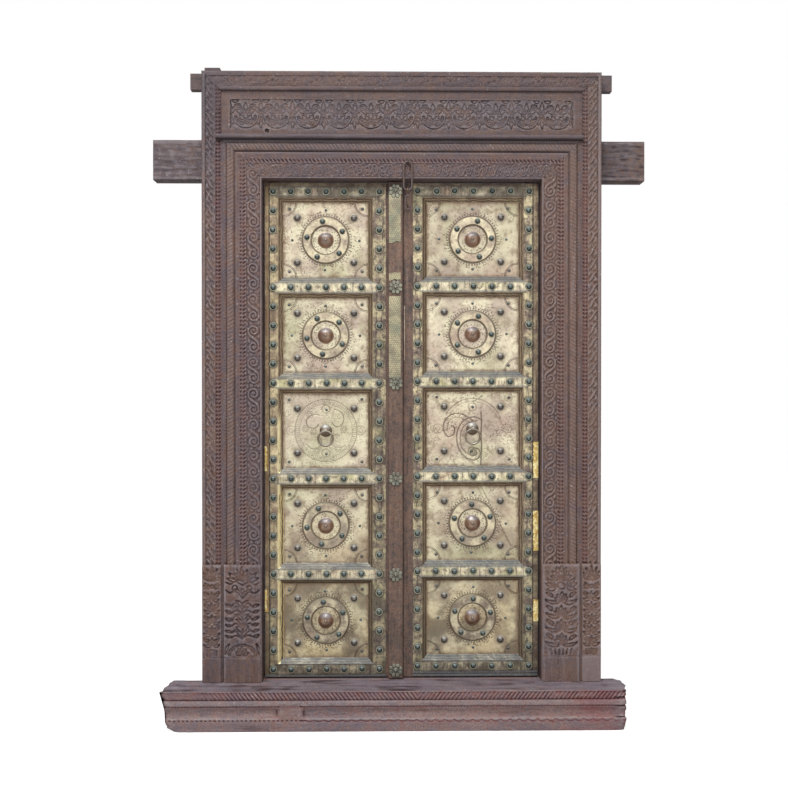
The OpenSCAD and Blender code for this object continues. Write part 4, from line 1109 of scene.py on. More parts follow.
def add_inner_jamb(side):
    sign, seed = SIGN[side], JAMB_SEED[side]
    u_values = columns(MOULD_EDGES + (HALF_INNER - HALF_OPENING,), 2.0)
    stop = OPENING_TOP - SILL_TOP + np.minimum(u_values, MOULD_W)
    u, s = carved_grid(u_values, 0.0, stop, 2.5)
    h, blush, warm = mould_height(u, s, seed, 0.55, False)
    half_w = (MOULD_W - EDGE_W) / 2 - BASE_EDGE
    rows = base_waves(half_w, BASE_FIELD_H) if side == "left" else base_tree(half_w, BASE_FIELD_H, 4)
    h = with_base(h, u, s, EDGE_W, MOULD_W, rows, seed)
    blush = np.where(s < BASE_H, BASE_BLUSH, blush)
    warm = np.where(s < BASE_H, 0.5, warm) + WARMTH[side] - 0.5
    rise = rise_of(h) + np.where(s < BASE_H, BASE_LIGHT[side], 0.0)
    # painted shadow on the reveal beside the leaf
    reveal_shadow = np.full(len(u), REVEAL_RISE)
    front = shell_of_grid(sign * (HALF_OPENING + u), FACE - h, SILL_TOP + s, FACE_BACK)
    edges = sorted((sign * HALF_OPENING, sign * HALF_INNER))
    back = shell_of_box((edges[0], FACE_BACK - 1, SILL_TOP), (edges[1], JAMB_BACK, HORN_Z))
    add_carved("inner_jamb_" + side, joined([front, back, *tenons(sign)]), carved_wood,
               np.concatenate([rise.ravel(), reveal_shadow]), blush, warm)


def add_head():
    u_values = columns(MOULD_EDGES, 2.0)
    start = -HALF_OPENING - u_values
    u, s = carved_grid(u_values, start, -start, 2.3)
    h, blush, warm = mould_height(u, s, 300, 0.7, True)
    # painted light on the edge below the cornice
    rise = rise_of(h) + HEAD_EDGE_LIGHT * (u > MOULD_W - ROUND_W / 2)
    shell = shell_of_grid(s, FACE - h, OPENING_TOP + u, FACE_BACK)
    add_carved("head", shell, level_wood, rise, blush, warm - 0.12)


def add_head_timber():
    """The rough timber behind the head, whose ends stand out past the frame as horns."""
    z_values = np.linspace(HORN_Z, HORN_Z + HORN_H, 40)
    z, x = carved_grid(z_values, HEAD_LOW[0] + 1.0, HEAD_HIGH[0] - 1.0, 6.0)
    wear = 1.6 * rough(x, z, 30.0, 310) + 1.2 * rough(x / 6, z, 6.0, 320)
    split = 2.5 * np.clip(rough(x / 14, z, 11.0, 330) - 0.25, 0, 1)
    inset = np.clip(4 - np.minimum(z - HORN_Z, HORN_Z + HORN_H - z), 0, 4)
    h = -wear - split - 0.5 * inset
    end_grain = np.clip((x - HEAD_HIGH[0] + 70) / 60, 0, 1)
    rise = rise_of(2.4 * h, 3) + np.where(x > 0, -0.1, 0.08)
    paint = {"rise": rise, "blush": np.zeros_like(h), "warm": 0.3 + 0.3 * end_grain}
    shell = shell_of_grid(x, FACE_BACK + 1.6 - h, z, JAMB_BACK)
    add_piece("head_timber", shell, level_wood, "frame", (), paint)


def strip_height(u, s, seed, band_u):
    """Plain section of an outer strip, with the places of its cords and of the band that starts at band_u."""
    h = np.where(u >= band_u + BAND_W, -0.6, 0.0)
    return h + 0.45 * rough(u, s, 4.0, seed), u < band_u, (u >= band_u) & (u < band_u + BAND_W)


def strip_edge(h, u, s, seed):
    """Notched and rounded outer edge of a strip."""
    notch = bead_row(u, s, STRIP_W, 3.4, 9.0, 0.0, 0.3)
    chips = 3.0 * np.clip(rough(s, s, 14.0, seed + 7) - 0.2, 0, 1)
    return h - 2.0 * notch - (np.clip(u - STRIP_W + 5, 0, 5) / 5) ** 2 * (1.5 + chips)


STRIP_SEED = {"left": 400, "right": 500}
STRIP_WARMTH = {"left": 0.0, "right": 0.35}
STRIP_RELIEF = 0.85
DARK_FROM = 1500


def add_outer_jamb(side):
    sign, seed = SIGN[side], STRIP_SEED[side]
    u_values = columns((0, CORD_W, CORD_W + BAND_W, STRIP_W), 2.0)
    u, s = carved_grid(u_values, 0.0, STRIP_Z - SILL_TOP + u_values, 2.3)
    h, cords, band = strip_height(u, s, seed, CORD_W)
    wavy = s + 1.4 * rough(s, u, 30.0, seed + 41)
    cut = notches(u, wavy, 5.0, 4.6, BEAD_PITCH, 0.6, 0.32)
    cut = np.maximum(cut, notches(u, wavy, 13.5, 3.0, BEAD_PITCH, 0.6, 0.3))
    cut *= 0.5 + 0.5 * noise(s, u, 24.0, seed + 43)
    h[cords] = (-3.2 - 3.6 * cut)[cords]
    drawn = by_hand(u[band] - CORD_W - BAND_W / 2, s[band], seed + 45, 3.4)
    carved = STRIP_RELIEF * emboss(*drawn, strip_rows(BAND_W / 2), STRIP_PERIOD)
    h[band] = worn(carved, u[band], s[band], seed) - STRIP_RELIEF * RELIEF
    h = strip_edge(h, u, s, seed + 51)
    h = with_base(h, u, s, 0, STRIP_W, base_tree(STRIP_W / 2 - BASE_EDGE, BASE_FIELD_H, 5), seed)
    blush = np.where(s < BASE_H, BASE_BLUSH, np.where(cords, 0.5 + 0.5 * cut, 0.05))
    dark = np.clip((s - DARK_FROM) / 300, 0, 1) * (side == "left")
    edge = u > CORD_W + BAND_W
    warm = 0.55 + STRIP_WARMTH[side] + 0.15 * edge - 0.6 * dark
    rise = rise_of(h) + 0.1 * STRIP_WARMTH[side] - 0.07 * dark
    if side == "right":
        rise += 0.3 * (s < BASE_FOOT) + 0.1 * edge
        warm = np.where(s < BASE_FOOT, 0.9, warm)
    shell = shell_of_grid(sign * (HALF_INNER + u), FACE - h, SILL_TOP + s, FACE_BACK)
    add_carved("outer_jamb_" + side, shell, carved_wood, rise, blush, warm)


ROSETTE_PITCH = 71.0
ROSETTE_START = -556.0
ROSETTE_RELIEF = 0.6
TOP_FILLET = 14.0


def rosette_rows():
    """Rosette of the top strip with a sunk middle, and slanted leaves between it and the next."""
    rows = []
    for k in range(7):
        a = 360 / 7 * k + 20
        at = (5.0 * math.cos(math.radians(a)), 5.0 * math.sin(math.radians(a)))
        rows.append(leaf(at, a, 11, 8.6, RELIEF))
    rows.append(stroke(spiral((0, 0), (15.5, 15.5), 0, 360, 0.0, 60), 3.2, RELIEF * 0.8))
    for s0 in (21, 29.5, 38, 46.5):
        rows.append(leaf((-13, s0 - 5), 26, 29, 8.0, RELIEF * 0.9, 0.14))
    return np.concatenate(rows)


def add_outer_head():
    u_values = columns((0, TOP_FILLET, TOP_FILLET + BAND_W, STRIP_W), 2.0)
    start = -HALF_INNER - u_values
    u, s = carved_grid(u_values, start, -start, 2.3)
    h, cords, band = strip_height(u, s, 600, TOP_FILLET)
    swell = np.sqrt(np.clip(1 - ((u - TOP_FILLET / 2) / (TOP_FILLET / 2 + 0.3)) ** 2, 0, 1))
    h[cords] = (-3.5 + 3.0 * swell)[cords]
    across, along = u[band] - TOP_FILLET - BAND_W / 2, s[band] - ROSETTE_START
    carved = ROSETTE_RELIEF * emboss(across, along, rosette_rows(), ROSETTE_PITCH)
    h[band] = worn(carved, u[band], s[band], 610) - ROSETTE_RELIEF * RELIEF
    h = strip_edge(h, u, s, 650)
    warm = 0.52 + 0.15 * rough(s, s, 300.0, 660) - 0.3 * np.clip((-s - 480) / 120, 0, 1) - 0.1 * cords
    rise = rise_of(h) - np.where(s < 0, 0.01, 0.07)
    shell = shell_of_grid(s, FACE - h, STRIP_Z + u, FACE_BACK)
    add_carved("outer_head", shell, level_wood, rise, np.full_like(h, 0.2), warm)


ROUNDELS = 11
ROUNDEL_R = 43.0
FRIEZE_MARGIN = 28.0
FRIEZE_CUT = 4.0
FRIEZE_CHIP = (-431.0, 12.0)


def roundel_rows(period):
    """Cut lines of a vine roundel about (0, 0): a ring open at the top, with curled ends, round a palmette
    with curled leaves, and leaves in the gaps to its neighbours."""
    rows = [ring_lines((0, 0), ROUNDEL_R, 50, 260)]
    rows.append(fan_lines((-30, 0), 0, 62, 5, 40, 14))
    rows.append(fan_lines((4, 0), 0, 48, 3, 34, 13))
    for side in (-1, 1):
        rows.append(leaf_lines((2, side * 6), side * 66, 30, 12, 0.4 * side))
        rows.append(leaf_lines((16, side * 14), side * 50, 26, 11, 0.5 * side))
        rows.append(leaf_lines((-16, side * 16), side * 80, 19, 10, -0.3 * side))
        rows.append(ring_lines((-8, side * 31), 3.6))
        rows.append(ring_lines((25, side * 25), 9.5))
        rows.append(ring_lines((25, side * 25), 4.0))
        rows.append(leaf_lines((-36, side * 8), side * 60, 24, 9, 0.4 * side))
    half = period / 2
    for side in (-1, 1):
        gap = side * half
        rows.append(fan_lines((2, gap), 0, 40, 3, 42, 13))
        rows.append(fan_lines((-6, gap), 180, 26, 3, 38, 11))
        rows.append(leaf_lines((46, gap - side * 6), 90 * -side, 22, 10, 0.4 * side))
        rows.append(ring_lines((-2, gap), 4.2))
    return np.concatenate(rows)


def add_frieze():
    low, high = box_mm("frieze_panel")
    height = high[2] - low[2]
    foot, top = FRIEZE_MARGIN / 2, height - FRIEZE_MARGIN
    u, s = carved_grid(columns((0, foot, top, height), 1.9), low[0] + 0.5, -low[0] - 0.5, 2.1)
    field_w = high[0] - low[0] - 2 * FRIEZE_MARGIN
    period = field_w / ROUNDELS
    inside = (np.abs(s) < field_w / 2) & (u > foot) & (u < top)
    h = np.zeros_like(u)
    field_u, field_s = u[inside], s[inside]
    drawn = by_hand(field_u - (foot + top) / 2, field_s + field_w / 2 - period / 2, 705, 2.4)
    cut = FRIEZE_CUT * engrave(*drawn, roundel_rows(period), 1.6, period)
    h[inside] = -1.0 - worn(cut, field_u, field_s, 700) + 1.4 * rough(field_u, field_s, 15.0, 707)
    h += 0.45 * rough(u, s, 5.0, 710)
    chip = np.hypot(s - FRIEZE_CHIP[0], u - FRIEZE_CHIP[1]) < 7 + 4 * rough(u, s, 6.0, 720)
    h = np.where(chip, h - 5, h)
    rise = rise_of(h) + 0.09 * inside
    warm = np.where(inside, 0.36 + 0.5 * rough(s, u, 42.0, 730), 0.55)
    shell = shell_of_grid(s, low[1] - h, low[2] + u, FACE_BACK)
    add_carved("frieze_panel", shell, level_wood, rise, np.where(inside, 0.06, 0.15), warm)


def add_cornice():
    low, high = box_mm("cornice_strip")
    height = high[2] - low[2]
    u_values = height / 2 * (1 + np.sin(np.radians(np.linspace(-90, 90, 15))))
    u, s = carved_grid(u_values, low[0], high[0], 5.0)
    nose = height / 2 * np.sqrt(np.clip(1 - (2 * u / height - 1) ** 2, 0, 1))
    wear = 1.2 * rough(s, u, 40.0, 800) + 0.8 * rough(s, u, 9.0, 810)
    y = low[1] + height / 2 - nose + np.clip(wear, -0.3, 2)
    # the lower part of the cornice is painted dark and red: painted shade under the bead
    lower = np.clip(1 - u / (0.45 * height), 0, 1)
    shell = shell_of_grid(s, y, low[2] + u, FACE_BACK)
    add_carved("cornice_strip", shell, level_wood, 0.5 - 0.4 * lower, 0.3 * lower,
               np.full_like(u, 0.05), "_worn")


# Sill

SILL_PLINTH = 40.0
SILL_HOLLOW = 36.0
SILL_ROPE_Z = 97.0
SILL_BLOCK = (-381.0, -319.0)
SILL_TURN_X = 45.0
SILL_END_Y = 0.0
SILL_STAIN_X = 430.0
SILL_TOP_ROWS = 20
SILL_WORN_X = -665.0
# The ends of the sill's front, as heights and places, and how far its right end stands out along the depth
SILL_LEFT_END = ((0, 12, 60, 125), (-714, -735, -740, -751))
SILL_RIGHT_END = ((0, 100, 125), (696, 701, 692))
SILL_RIGHT_TOP = ((SILL_LOW[1], -70, -20, 0), (0, 14, 10, -6))


def sill_height(x, z):
    """Front of the sill: plain foot, scalloped line, hollow, dark line, round fillet and a slanted rope."""
    h = np.zeros_like(x)
    hollow_top = SILL_PLINTH + SILL_HOLLOW
    right = np.clip((x - SILL_BLOCK[1]) / 40, 0, 0.6) + np.clip((x - SILL_TURN_X) / 40, 0, 0.4)
    t = (z - SILL_PLINTH) / SILL_HOLLOW
    hollow = (t > 0) & (t < 1)
    h[hollow] = -7.0 * np.sin(np.pi * t[hollow]) ** 0.8
    beside = np.maximum(SILL_BLOCK[0] - x, x - SILL_BLOCK[1])
    h *= np.clip(beside / 10, 0, 1)
    seam = np.clip(1 - np.abs(beside) / 1.6, 0, 1) * (t > -0.3) * (t < 1.3)
    scallop = SILL_PLINTH - 3 - 7.0 * np.abs(np.cos(np.pi * x / 29)) * right - 3 * (1 - right)
    dashes = np.where(x > SILL_BLOCK[1], 1.0, np.clip(1.6 * np.sin(2 * np.pi * x / 14), 0, 1))
    cut = np.clip(1.3 - np.abs(z - scallop) / 2.4, 0, 1) * dashes
    hatch = twist(z, x, SILL_PLINTH - 10, 9.0, 0.9) * ((z < scallop) & (z > scallop - 7)) * right
    line = np.exp(-(((z - hollow_top - 1) / 2.2) ** 2))
    pecked = 0.75 + 0.25 * np.sin(2 * np.pi * x / 10)
    fillet = np.clip(1 - ((z - hollow_top - 12) / 9.0) ** 2, 0, 1)
    rope_mid = (SILL_ROPE_Z + SILL_TOP) / 2
    rope = (z > SILL_ROPE_Z) & (z < SILL_TOP - 2)
    lean = np.where(x > SILL_TURN_X, -0.75, 0.75)
    wavy = x + 2.0 * rough(x, z, 40.0, 901)
    furrow = np.clip(1.35 * twist(z, wavy, rope_mid, 13.0, lean), 0, 1)
    furrow *= 0.45 + 0.55 * noise(x, z, 28.0, 903)
    furrow *= np.clip((x - SILL_WORN_X) / 130, 0.08, 1)
    swell = np.sqrt(np.clip(1 - ((z - rope_mid) / 14.5) ** 2, 0, 1))
    h += 2.0 * fillet - (3.6 - 2.0 * right) * cut - 1.2 * hatch
    h -= 4.0 * line * pecked * (beside > 0) + 1.4 * seam
    h[rope] = (-4.0 + 3.6 * swell - 4.4 * furrow * swell)[rope]
    blush = np.full_like(x, 0.1)
    for value in (cut, 0.7 * hatch, line * pecked, np.where(rope, 0.3 + 0.7 * furrow, 0)):
        blush = np.maximum(blush, value)
    stain = np.clip((x - SILL_STAIN_X) / 120, 0, 1) * np.clip(0.5 + 1.4 * rough(x, z * 1.6, 60.0, 905), 0, 1)
    blush = np.maximum(blush, 0.75 * stain)
    h += 0.9 * rough(x, z, 22.0, 900) + 0.7 * rough(x / 3, z, 4.0, 910)
    for level, depth in ((100, 9.0), (76, 8.0), (40, 10.0)):
        gap = np.abs(z - level - 7 * noise(x, z, 30.0, 915 + level) + 3)
        h -= depth * np.clip(1 - gap / 3.0, 0, 1) * np.clip((x - 655) / 30, 0, 1)
    return h, blush


def sill_top(x, y):
    """Wear of the sill's upper face: cracks along the grain and dents."""
    crack = np.clip(0.35 - np.abs(rough(x / 9, y, 26.0, 940)), 0, 0.35)
    return -0.8 - 1.0 * rough(x, y, 40.0, 942) - 5.0 * crack * noise(x, y, 120.0, 944)


def add_sill():
    front = SILL_LOW[1]
    face_z = np.concatenate([np.linspace(0, SILL_TOP - 4, 58), np.linspace(SILL_TOP - 3, SILL_TOP, 4)])
    top_y = np.linspace(front + 4, SILL_END_Y - 0.5, SILL_TOP_ROWS)
    across = np.concatenate([face_z, np.full(SILL_TOP_ROWS, SILL_TOP)])
    depth = np.concatenate([np.full(len(face_z), front), top_y])
    left = np.interp(across, *SILL_LEFT_END) + np.clip(depth - front - 4, 0, 200) * 0.1
    right = np.interp(across, *SILL_RIGHT_END) + np.interp(depth, *SILL_RIGHT_TOP)
    z, x = carved_grid(across, left, right, 2.7)
    y = np.broadcast_to(depth, x.shape)
    ends = np.minimum(x - left[None, :], right[None, :] - x)
    ragged = np.clip(1 - ends / 30, 0, 1) * rough(z + y, z, 16.0, 930)
    x = x + 9 * ragged * np.where(x < 0, 1, -1)
    h, blush = sill_height(x, z)
    h -= np.clip(1 - ends / 22, 0, 1) ** 2 * 8
    rounding = np.clip(z - SILL_TOP + 3, 0, 3) ** 2 * 0.35
    ledge = y > front + 1
    wear = sill_top(x, y)
    y_out = np.where(ledge, y, np.maximum(front + 0.8 - h + rounding, front - 0.5))
    z_out = np.where(ledge, z + wear, z)
    rise = np.where(ledge, 0.58 + 0.34 * (wear + 0.8), rise_of(h) - 0.07 * (z > SILL_ROPE_Z))
    warm = np.where(ledge, 0.05, np.where(np.abs(z - 57) < 16, 0.62, 0.48))
    carved = shell_of_grid(x, y_out, z_out, SILL_END_Y)
    body = shell_of_box((-HALF_FRAME, SILL_END_Y - 1, 0), (HALF_FRAME, SILL_HIGH[1], SILL_TOP - 1))
    add_carved("sill", joined([carved, body]), sill_wood, rise, np.where(ledge, 0.05, blush), warm)


# Leaves


def leaf_places(side):
    """Heights of a leaf's rails and panels, and the places of its studs and panels across, in mm."""
    mids = [np.mean([corner[2] for corner in box_mm(f"{side}_cross_rail_{i}")]) for i in (1, 2)]
    pitch = mids[1] - mids[0]
    rails = [mids[0] + pitch * (i - 1) for i in range(6)]
    stud_low, stud_high = box_mm(side + "_studs")
    ring_low, ring_high = box_mm(side + "_boss_rings")
    sheet_low, sheet_high = box_mm(side + "_panel_sheets")
    clad_low, clad_high = box_mm(side + "_cladding")
    return {
        "pitch": pitch,
        "rails": rails,
        "panels": [r + pitch / 2 for r in rails[:5]],
        "studs": (stud_low[0] + STUD_R, stud_high[0] - STUD_R),
        "panel_x": (ring_low[0] + ring_high[0]) / 2,
        "sheet": (sheet_low, sheet_high),
        "clad": (clad_low[0], clad_high[0]),
        "strap_y": box_mm(side + "_rail_straps")[0][1],
        "clad_y": clad_low[1],
        "panel_y": sheet_low[1],
    }


STUD_SPOKES = 20
STUD_PROFILE = ((13.0, 0.0), (13.0, 0.6), (12.2, 1.2), (9.2, 1.2), (8.4, 0.9), (8.0, 2.2), (7.0, 4.0),
                (5.2, 5.4), (2.8, 6.2), (0.0, 6.5))
STUD_RIM = (0.1, 0.3, 0.9, 0.8, 0.0, 0.0, 0.0, 0.0, 0.05, 0.05)
RING_STUD_PROFILE = ((10.0, 0.0), (10.0, 0.5), (9.3, 1.0), (8.0, 1.0), (7.4, 0.8), (7.0, 2.0), (6.2, 3.8),
                     (4.6, 5.2), (2.4, 6.0), (0.0, 6.3))
BOSS_PROFILE = ((26.5, 0.0), (26.5, 1.0), (25.4, 1.8), (23.6, 2.2), (20.5, 5.6), (16.0, 9.0),
                (10.5, 11.5), (6.0, 12.6), (5.2, 12.4), (4.6, 13.4), (2.8, 14.6), (0.0, 15.0))
DOME_SPOKES = 24
DOME_PROFILE = ((14.5, 0.0), (14.5, 0.5), (13.2, 1.0), (10.6, 1.3), (9.4, 2.8), (7.6, 5.4),
                (4.8, 7.0), (2.4, 7.8), (0.0, 8.1))
DOME_RIM = (1.0, 0.95, 0.85, 0.5, 0.1, 0.0, 0.0, 0.0, 0.0)
NAIL_PROFILE = ((4.4, 0.0), (4.2, 1.0), (2.8, 1.9), (0.0, 2.3))
RING_STUDS = {"left": 36.0, "right": 10.0}
STUD_SEED = {"left": 11, "right": 12}
BOSS_SEED = {"left": 21, "right": 22}
SHEET_SEED = {"left": 31, "right": 41}
CORNERS = [(i, k) for i in (-1, 1) for k in (-1, 1)]
PULL_NAILS = [(0, 70), (0, -73)]
BOSS_NAILS = [(0, 98), (0, -98), (110, 0), (-110, 0)]


def add_studs(side, place):
    rng = np.random.default_rng(STUD_SEED[side])
    stud, small = lathe(STUD_PROFILE, STUD_SPOKES), lathe(RING_STUD_PROFILE, STUD_SPOKES)
    shells = []
    x0, x1 = place["studs"]
    for x in (x0, x1):
        for i in range(5 * STUDS_PER_PANEL + 1):
            y = place["strap_y"] if i % STUDS_PER_PANEL == 0 else place["clad_y"]
            at = (x + rng.normal(0, 0.5), y, place["rails"][0] + i * place["pitch"] / STUDS_PER_PANEL)
            shells.append(placed(stud, at, rng.random() * 6))
    for z in place["rails"]:
        for k in range(1, 6):
            at = (x0 + (x1 - x0) * k / 6 + rng.normal(0, 0.8), place["strap_y"], z + rng.normal(0, 0.6))
            shells.append(placed(stud, at, rng.random() * 6))
    for row, z in enumerate(place["panels"]):
        if row == PULL_ROW:
            continue
        first = RING_STUDS[side] + rng.normal(0, 9)
        for k in range(5):
            a = math.radians(first + 72 * k)
            at = (place["panel_x"] + RING_R * math.cos(a), place["panel_y"] - RING_H,
                  z + RING_R * math.sin(a))
            shells.append(placed(small, at, rng.random() * 6))
    add_turned(side + "_studs_turned", shells, stud_brass, side + "_leaf",
               [side + "_studs"], STUD_RIM, STUD_SPOKES)


def add_bosses(side, place):
    boss, dome, nail = lathe(BOSS_PROFILE, 36), lathe(DOME_PROFILE, DOME_SPOKES), lathe(NAIL_PROFILE, 12)
    rng = np.random.default_rng(BOSS_SEED[side])
    bosses, domes, nails = [], [], []
    x, y = place["panel_x"], place["panel_y"]
    for row, z in enumerate(place["panels"]):
        if row != PULL_ROW:
            bosses.append(placed(boss, (x, y, z)))
        for i, k in CORNERS:
            domes.append(placed(dome, (x + i * DOME_X, y, z + k * DOME_Z), rng.random() * 6))
        spots = [(i * NAIL_X, k * NAIL_Z) for i, k in CORNERS]
        spots += PULL_NAILS if row == PULL_ROW else BOSS_NAILS
        for u, v in spots:
            jitter = rng.normal(0, 1.6, 2)
            nails.append(placed(nail, (x + u + jitter[0], y, z + v + jitter[1])))
    add_turned(side + "_bosses_turned", bosses, boss_brass, side + "_leaf", [side + "_bosses"])
    add_turned(side + "_domes_turned", domes, dome_brass, side + "_leaf",
               [side + "_panel_domes"], DOME_RIM, DOME_SPOKES)
    add_turned(side + "_panel_nails", nails, stud_brass, side + "_leaf")


# Engraving of the pull panels, in mm about a panel's middle. A ring is a middle, a radius, a line's width
# and its depth; an arc has its start and turn at the end; a line has its number of points
SHARED_RINGS = [((i * NAIL_X, k * NAIL_Z), 12, 2.2, 0.7) for i, k in CORNERS]
SHARED_RINGS += [((at, 0), *ring) for at in (113, -113) for ring in ((15, 2.2, 0.7), (7, 2.0, 0.6))]
SHARED_RINGS += [((0, up), 13, 2.2, 0.8) for up in (70, -73)]
LEFT_RINGS = (((0, 0), 101, 2.4, 0.8), ((0, 0), 86, 2.4, 0.62))
LEFT_CURLS = (((34, 34), (30, 34), 100, -250, 0.5, 0.9), ((-38, 24), (34, 30), 60, 280, 0.6, 0.9),
              ((-34, -34), (30, 30), 200, 260, 0.6, 0.8), ((38, -28), (32, 30), -40, -260, 0.6, 0.8))
LEFT_FLOWERS = ((-52, 52), (-66, 6), (58, 4), (-40, -4), (40, -58), (-30, -66))
RIGHT_RINGS = (((3, -79), 10, 2.8, 1.0), ((3, -79), 4, 3.0, 0.9), ((60, 0), 24, 2.0, 0.45),
               ((60, 0), 12, 2.0, 0.45))
RIGHT_ARCS = ((98, 2.6, 0.8, 20, 130), (89, 2.2, 0.6, 25, 120), (97, 2.2, 0.35, -160, 170))
RIGHT_LINES = (
    (((31, 28), (4, 38), (-30, 24), (-50, -12), (-47, -58), (-24, -92), (8, -103), (26, -84), (18, -66),
      (2, -64)), 120, 3.0, 1.0),
    (((16, 26), (-20, 14), (-38, -16), (-36, -56), (-18, -80), (4, -90)), 80, 2.6, 0.9),
    (((2, 26), (-30, 46), (-66, 46), (-90, 26), (-94, -4), (-80, -26), (-62, -18), (-58, 2), (-70, 10)),
     110, 2.8, 1.0),
    (((-8, 18), (-36, 34), (-64, 34), (-80, 16), (-82, -6)), 70, 2.4, 0.8),
    (((28, 54), (30, 20), (28, -20), (30, -60), (27, -118)), 120, 2.6, 1.0),
    (((32, 108), (20, 98), (2, 88)), 20, 2.4, 0.9),
)
ENGRAVED = 2.1


def circle_rows(centre, radius, width, depth, start=0, turn=360):
    count = int(12 + radius * abs(turn) / 360 * 5)
    return stroke(spiral(centre, (radius, radius), start, turn, 0.0, count), width, depth)


def around(centre, radius, degrees):
    """Point at an angle on a circle."""
    a = math.radians(degrees)
    return centre[0] + radius * math.cos(a), centre[1] + radius * math.sin(a)


def left_medallion():
    """Two rings with ticks between them, curls and small flowers."""
    rows = [circle_rows(*ring) for ring in LEFT_RINGS]
    for k in range(90):
        rows.append(stroke([around((0, 0), radius, 4 * k) for radius in (90, 93, 96)], 2.2, 0.75))
    for centre, radii, start, turn, shrink, depth in LEFT_CURLS:
        rows.append(stroke(spiral(centre, radii, start, turn, shrink, 60), 2.4, depth))
    for at in LEFT_FLOWERS:
        rows += [circle_rows(around(at, 8, 60 * k), 3.4, 2.0, 0.7) for k in range(6)]
    return rows


def right_medallion():
    """Two paisleys with their inner lines, arcs round them and a straight cut."""
    rows = [circle_rows(*ring) for ring in RIGHT_RINGS]
    rows += [circle_rows((0, 0), *arc) for arc in RIGHT_ARCS]
    rows += [stroke(curve(points, count), width, depth) for points, count, width, depth in RIGHT_LINES]
    for k, z in enumerate((-2, -16, -30, -44)):
        rows.append(stroke(curve([(-46 + k, z), (-38, z - 5), (-30, z - 4)], 8), 2.2, 0.6))
    return rows


def medallion_rows(side):
    """Engraved lines of a pull panel about its middle."""
    rows = left_medallion() if side == "left" else right_medallion()
    return np.concatenate(rows + [circle_rows(*ring) for ring in SHARED_RINGS])


def panel_grid(half_w, half_h, step):
    count = int(2 * half_w / step)
    return carved_grid(np.linspace(-half_w, half_w, count), -half_h, half_h, step)


def add_sheets(side, place, looks):
    low, high = place["sheet"]
    half_w = (high[0] - low[0]) / 2
    half_h = (high[2] - low[2] - 4 * place["pitch"]) / 2
    seed = SHEET_SEED[side]
    shells, cuts = [], []
    for row, z0 in enumerate(place["panels"]):
        u, v = panel_grid(half_w, half_h, 1.9 if row == PULL_ROW else 4.2)
        x = place["panel_x"] + u
        dents = 0.7 * np.clip(rough(u, v + 400 * row, 55.0, seed), -0.6, 1.0)
        dents += 0.35 * rough(u, v + 400 * row, 17.0, seed + 2)
        cut = np.zeros_like(u)
        if row == PULL_ROW:
            cut = engrave(u, v, medallion_rows(side), ENGRAVED)
        y = place["panel_y"] + np.clip(dents + 0.7 * cut, -0.1, 1.1)
        shells.append(shell_of_grid(x, y, z0 + v, high[1]))
        cuts.append(np.concatenate([cut.ravel(), np.zeros(2 * len(u))]))
    piece = add_piece(side + "_panel_sheets_dented", joined(shells), looks[0], side + "_leaf",
                      [side + "_panel_sheets"], {"cut": np.concatenate(cuts)})
    mesh = piece.data
    mesh.materials.append(looks[1])
    co = np.empty(len(mesh.vertices) * 3)
    mesh.vertices.foreach_get("co", co)
    co = co.reshape(-1, 3) / MM
    rows = np.clip(np.round((co[:, 2] - place["panels"][0]) / place["pitch"]), 0, 4).astype(int)
    flat = np.column_stack([co[:, 0] - place["panel_x"], co[:, 2] - np.array(place["panels"])[rows]]) / 100
    corner = np.empty(len(mesh.loops), int)
    mesh.loops.foreach_get("vertex_index", corner)
    layer = mesh.uv_layers.new(name="panel")
    layer.data.foreach_set("uv", flat[corner].astype(np.float32).ravel())
    starts = np.empty(len(mesh.polygons), int)
    mesh.polygons.foreach_get("loop_start", starts)
    mesh.polygons.foreach_set("material_index", (rows[corner[starts]] == PULL_ROW).astype(np.int32))
    mesh.update()


COVER_SHEET_W = 38.0
COVER_SHEETS = ((1536, 1693), (1418, 1440), (1100, 1364))
SCALE_STEP = 6.5


def add_cover_strip():
    low, high = box_mm("cover_strip")
    width = high[0] - low[0]
    rim = (0, 0.7, 2, 4)
    u_values = np.concatenate([rim, np.linspace(6, width - 6, 9), width - np.array(rim[::-1])])
    u, z = carved_grid(u_values, low[2], high[2], 6.0)
    edge = np.minimum(u, width - u)
    rounding = 5 - np.sqrt(np.clip(25 - (5 - np.clip(edge, 0, 5)) ** 2, 0, 25))
    wear = 1.4 * rough(u, z, 45.0, 51) + 0.7 * rough(u, z, 8.0, 52)
    wear += 2.0 * np.clip(rough(z, u, 26.0, 54), 0, 1) * (edge < 7)
    y = low[1] + rounding + np.clip(wear, 0, 4)
    add_piece("cover_strip_worn", shell_of_grid(low[0] + u, y, z, high[1]), leaf_wood, "left_leaf",
              ["cover_strip"])


def add_cover_sheets():
    """Torn brass on the cover strip, beaten into scales."""
    low = box_mm("cover_strip")[0]
    shells, seams = [], []
    for bottom, top in COVER_SHEETS:
        count = 26
        u_values = np.linspace(2, 2 + COVER_SHEET_W, count)
        torn = 12 * rough(u_values, np.full(count, bottom), 12.0, 61)
        u, z = carved_grid(u_values, bottom + torn, top + 0.4 * torn, 2.4)
        row = np.floor(z / SCALE_STEP)
        scale = np.hypot(np.mod(u + 0.5 * SCALE_STEP * np.mod(row, 2), SCALE_STEP) - SCALE_STEP / 2,
                         np.mod(z, SCALE_STEP) - SCALE_STEP / 2)
        y = low[1] - 1.2 + 0.5 * rough(u, z, 20.0, 63) - 0.8 * np.clip(1 - scale / 3.2, 0, 1)
        shells.append(shell_of_grid(low[0] + u, np.minimum(y, low[1] - 0.5), z, low[1] + 1.0))
        seam = np.clip((scale - 2.2) / 1.6, 0, 1)
        seams.append(np.concatenate([seam.ravel(), np.zeros(2 * len(u))]))
    add_piece("cover_sheets", joined(shells), cover_brass, "left_leaf",
              paint={"rise": np.concatenate(seams)})


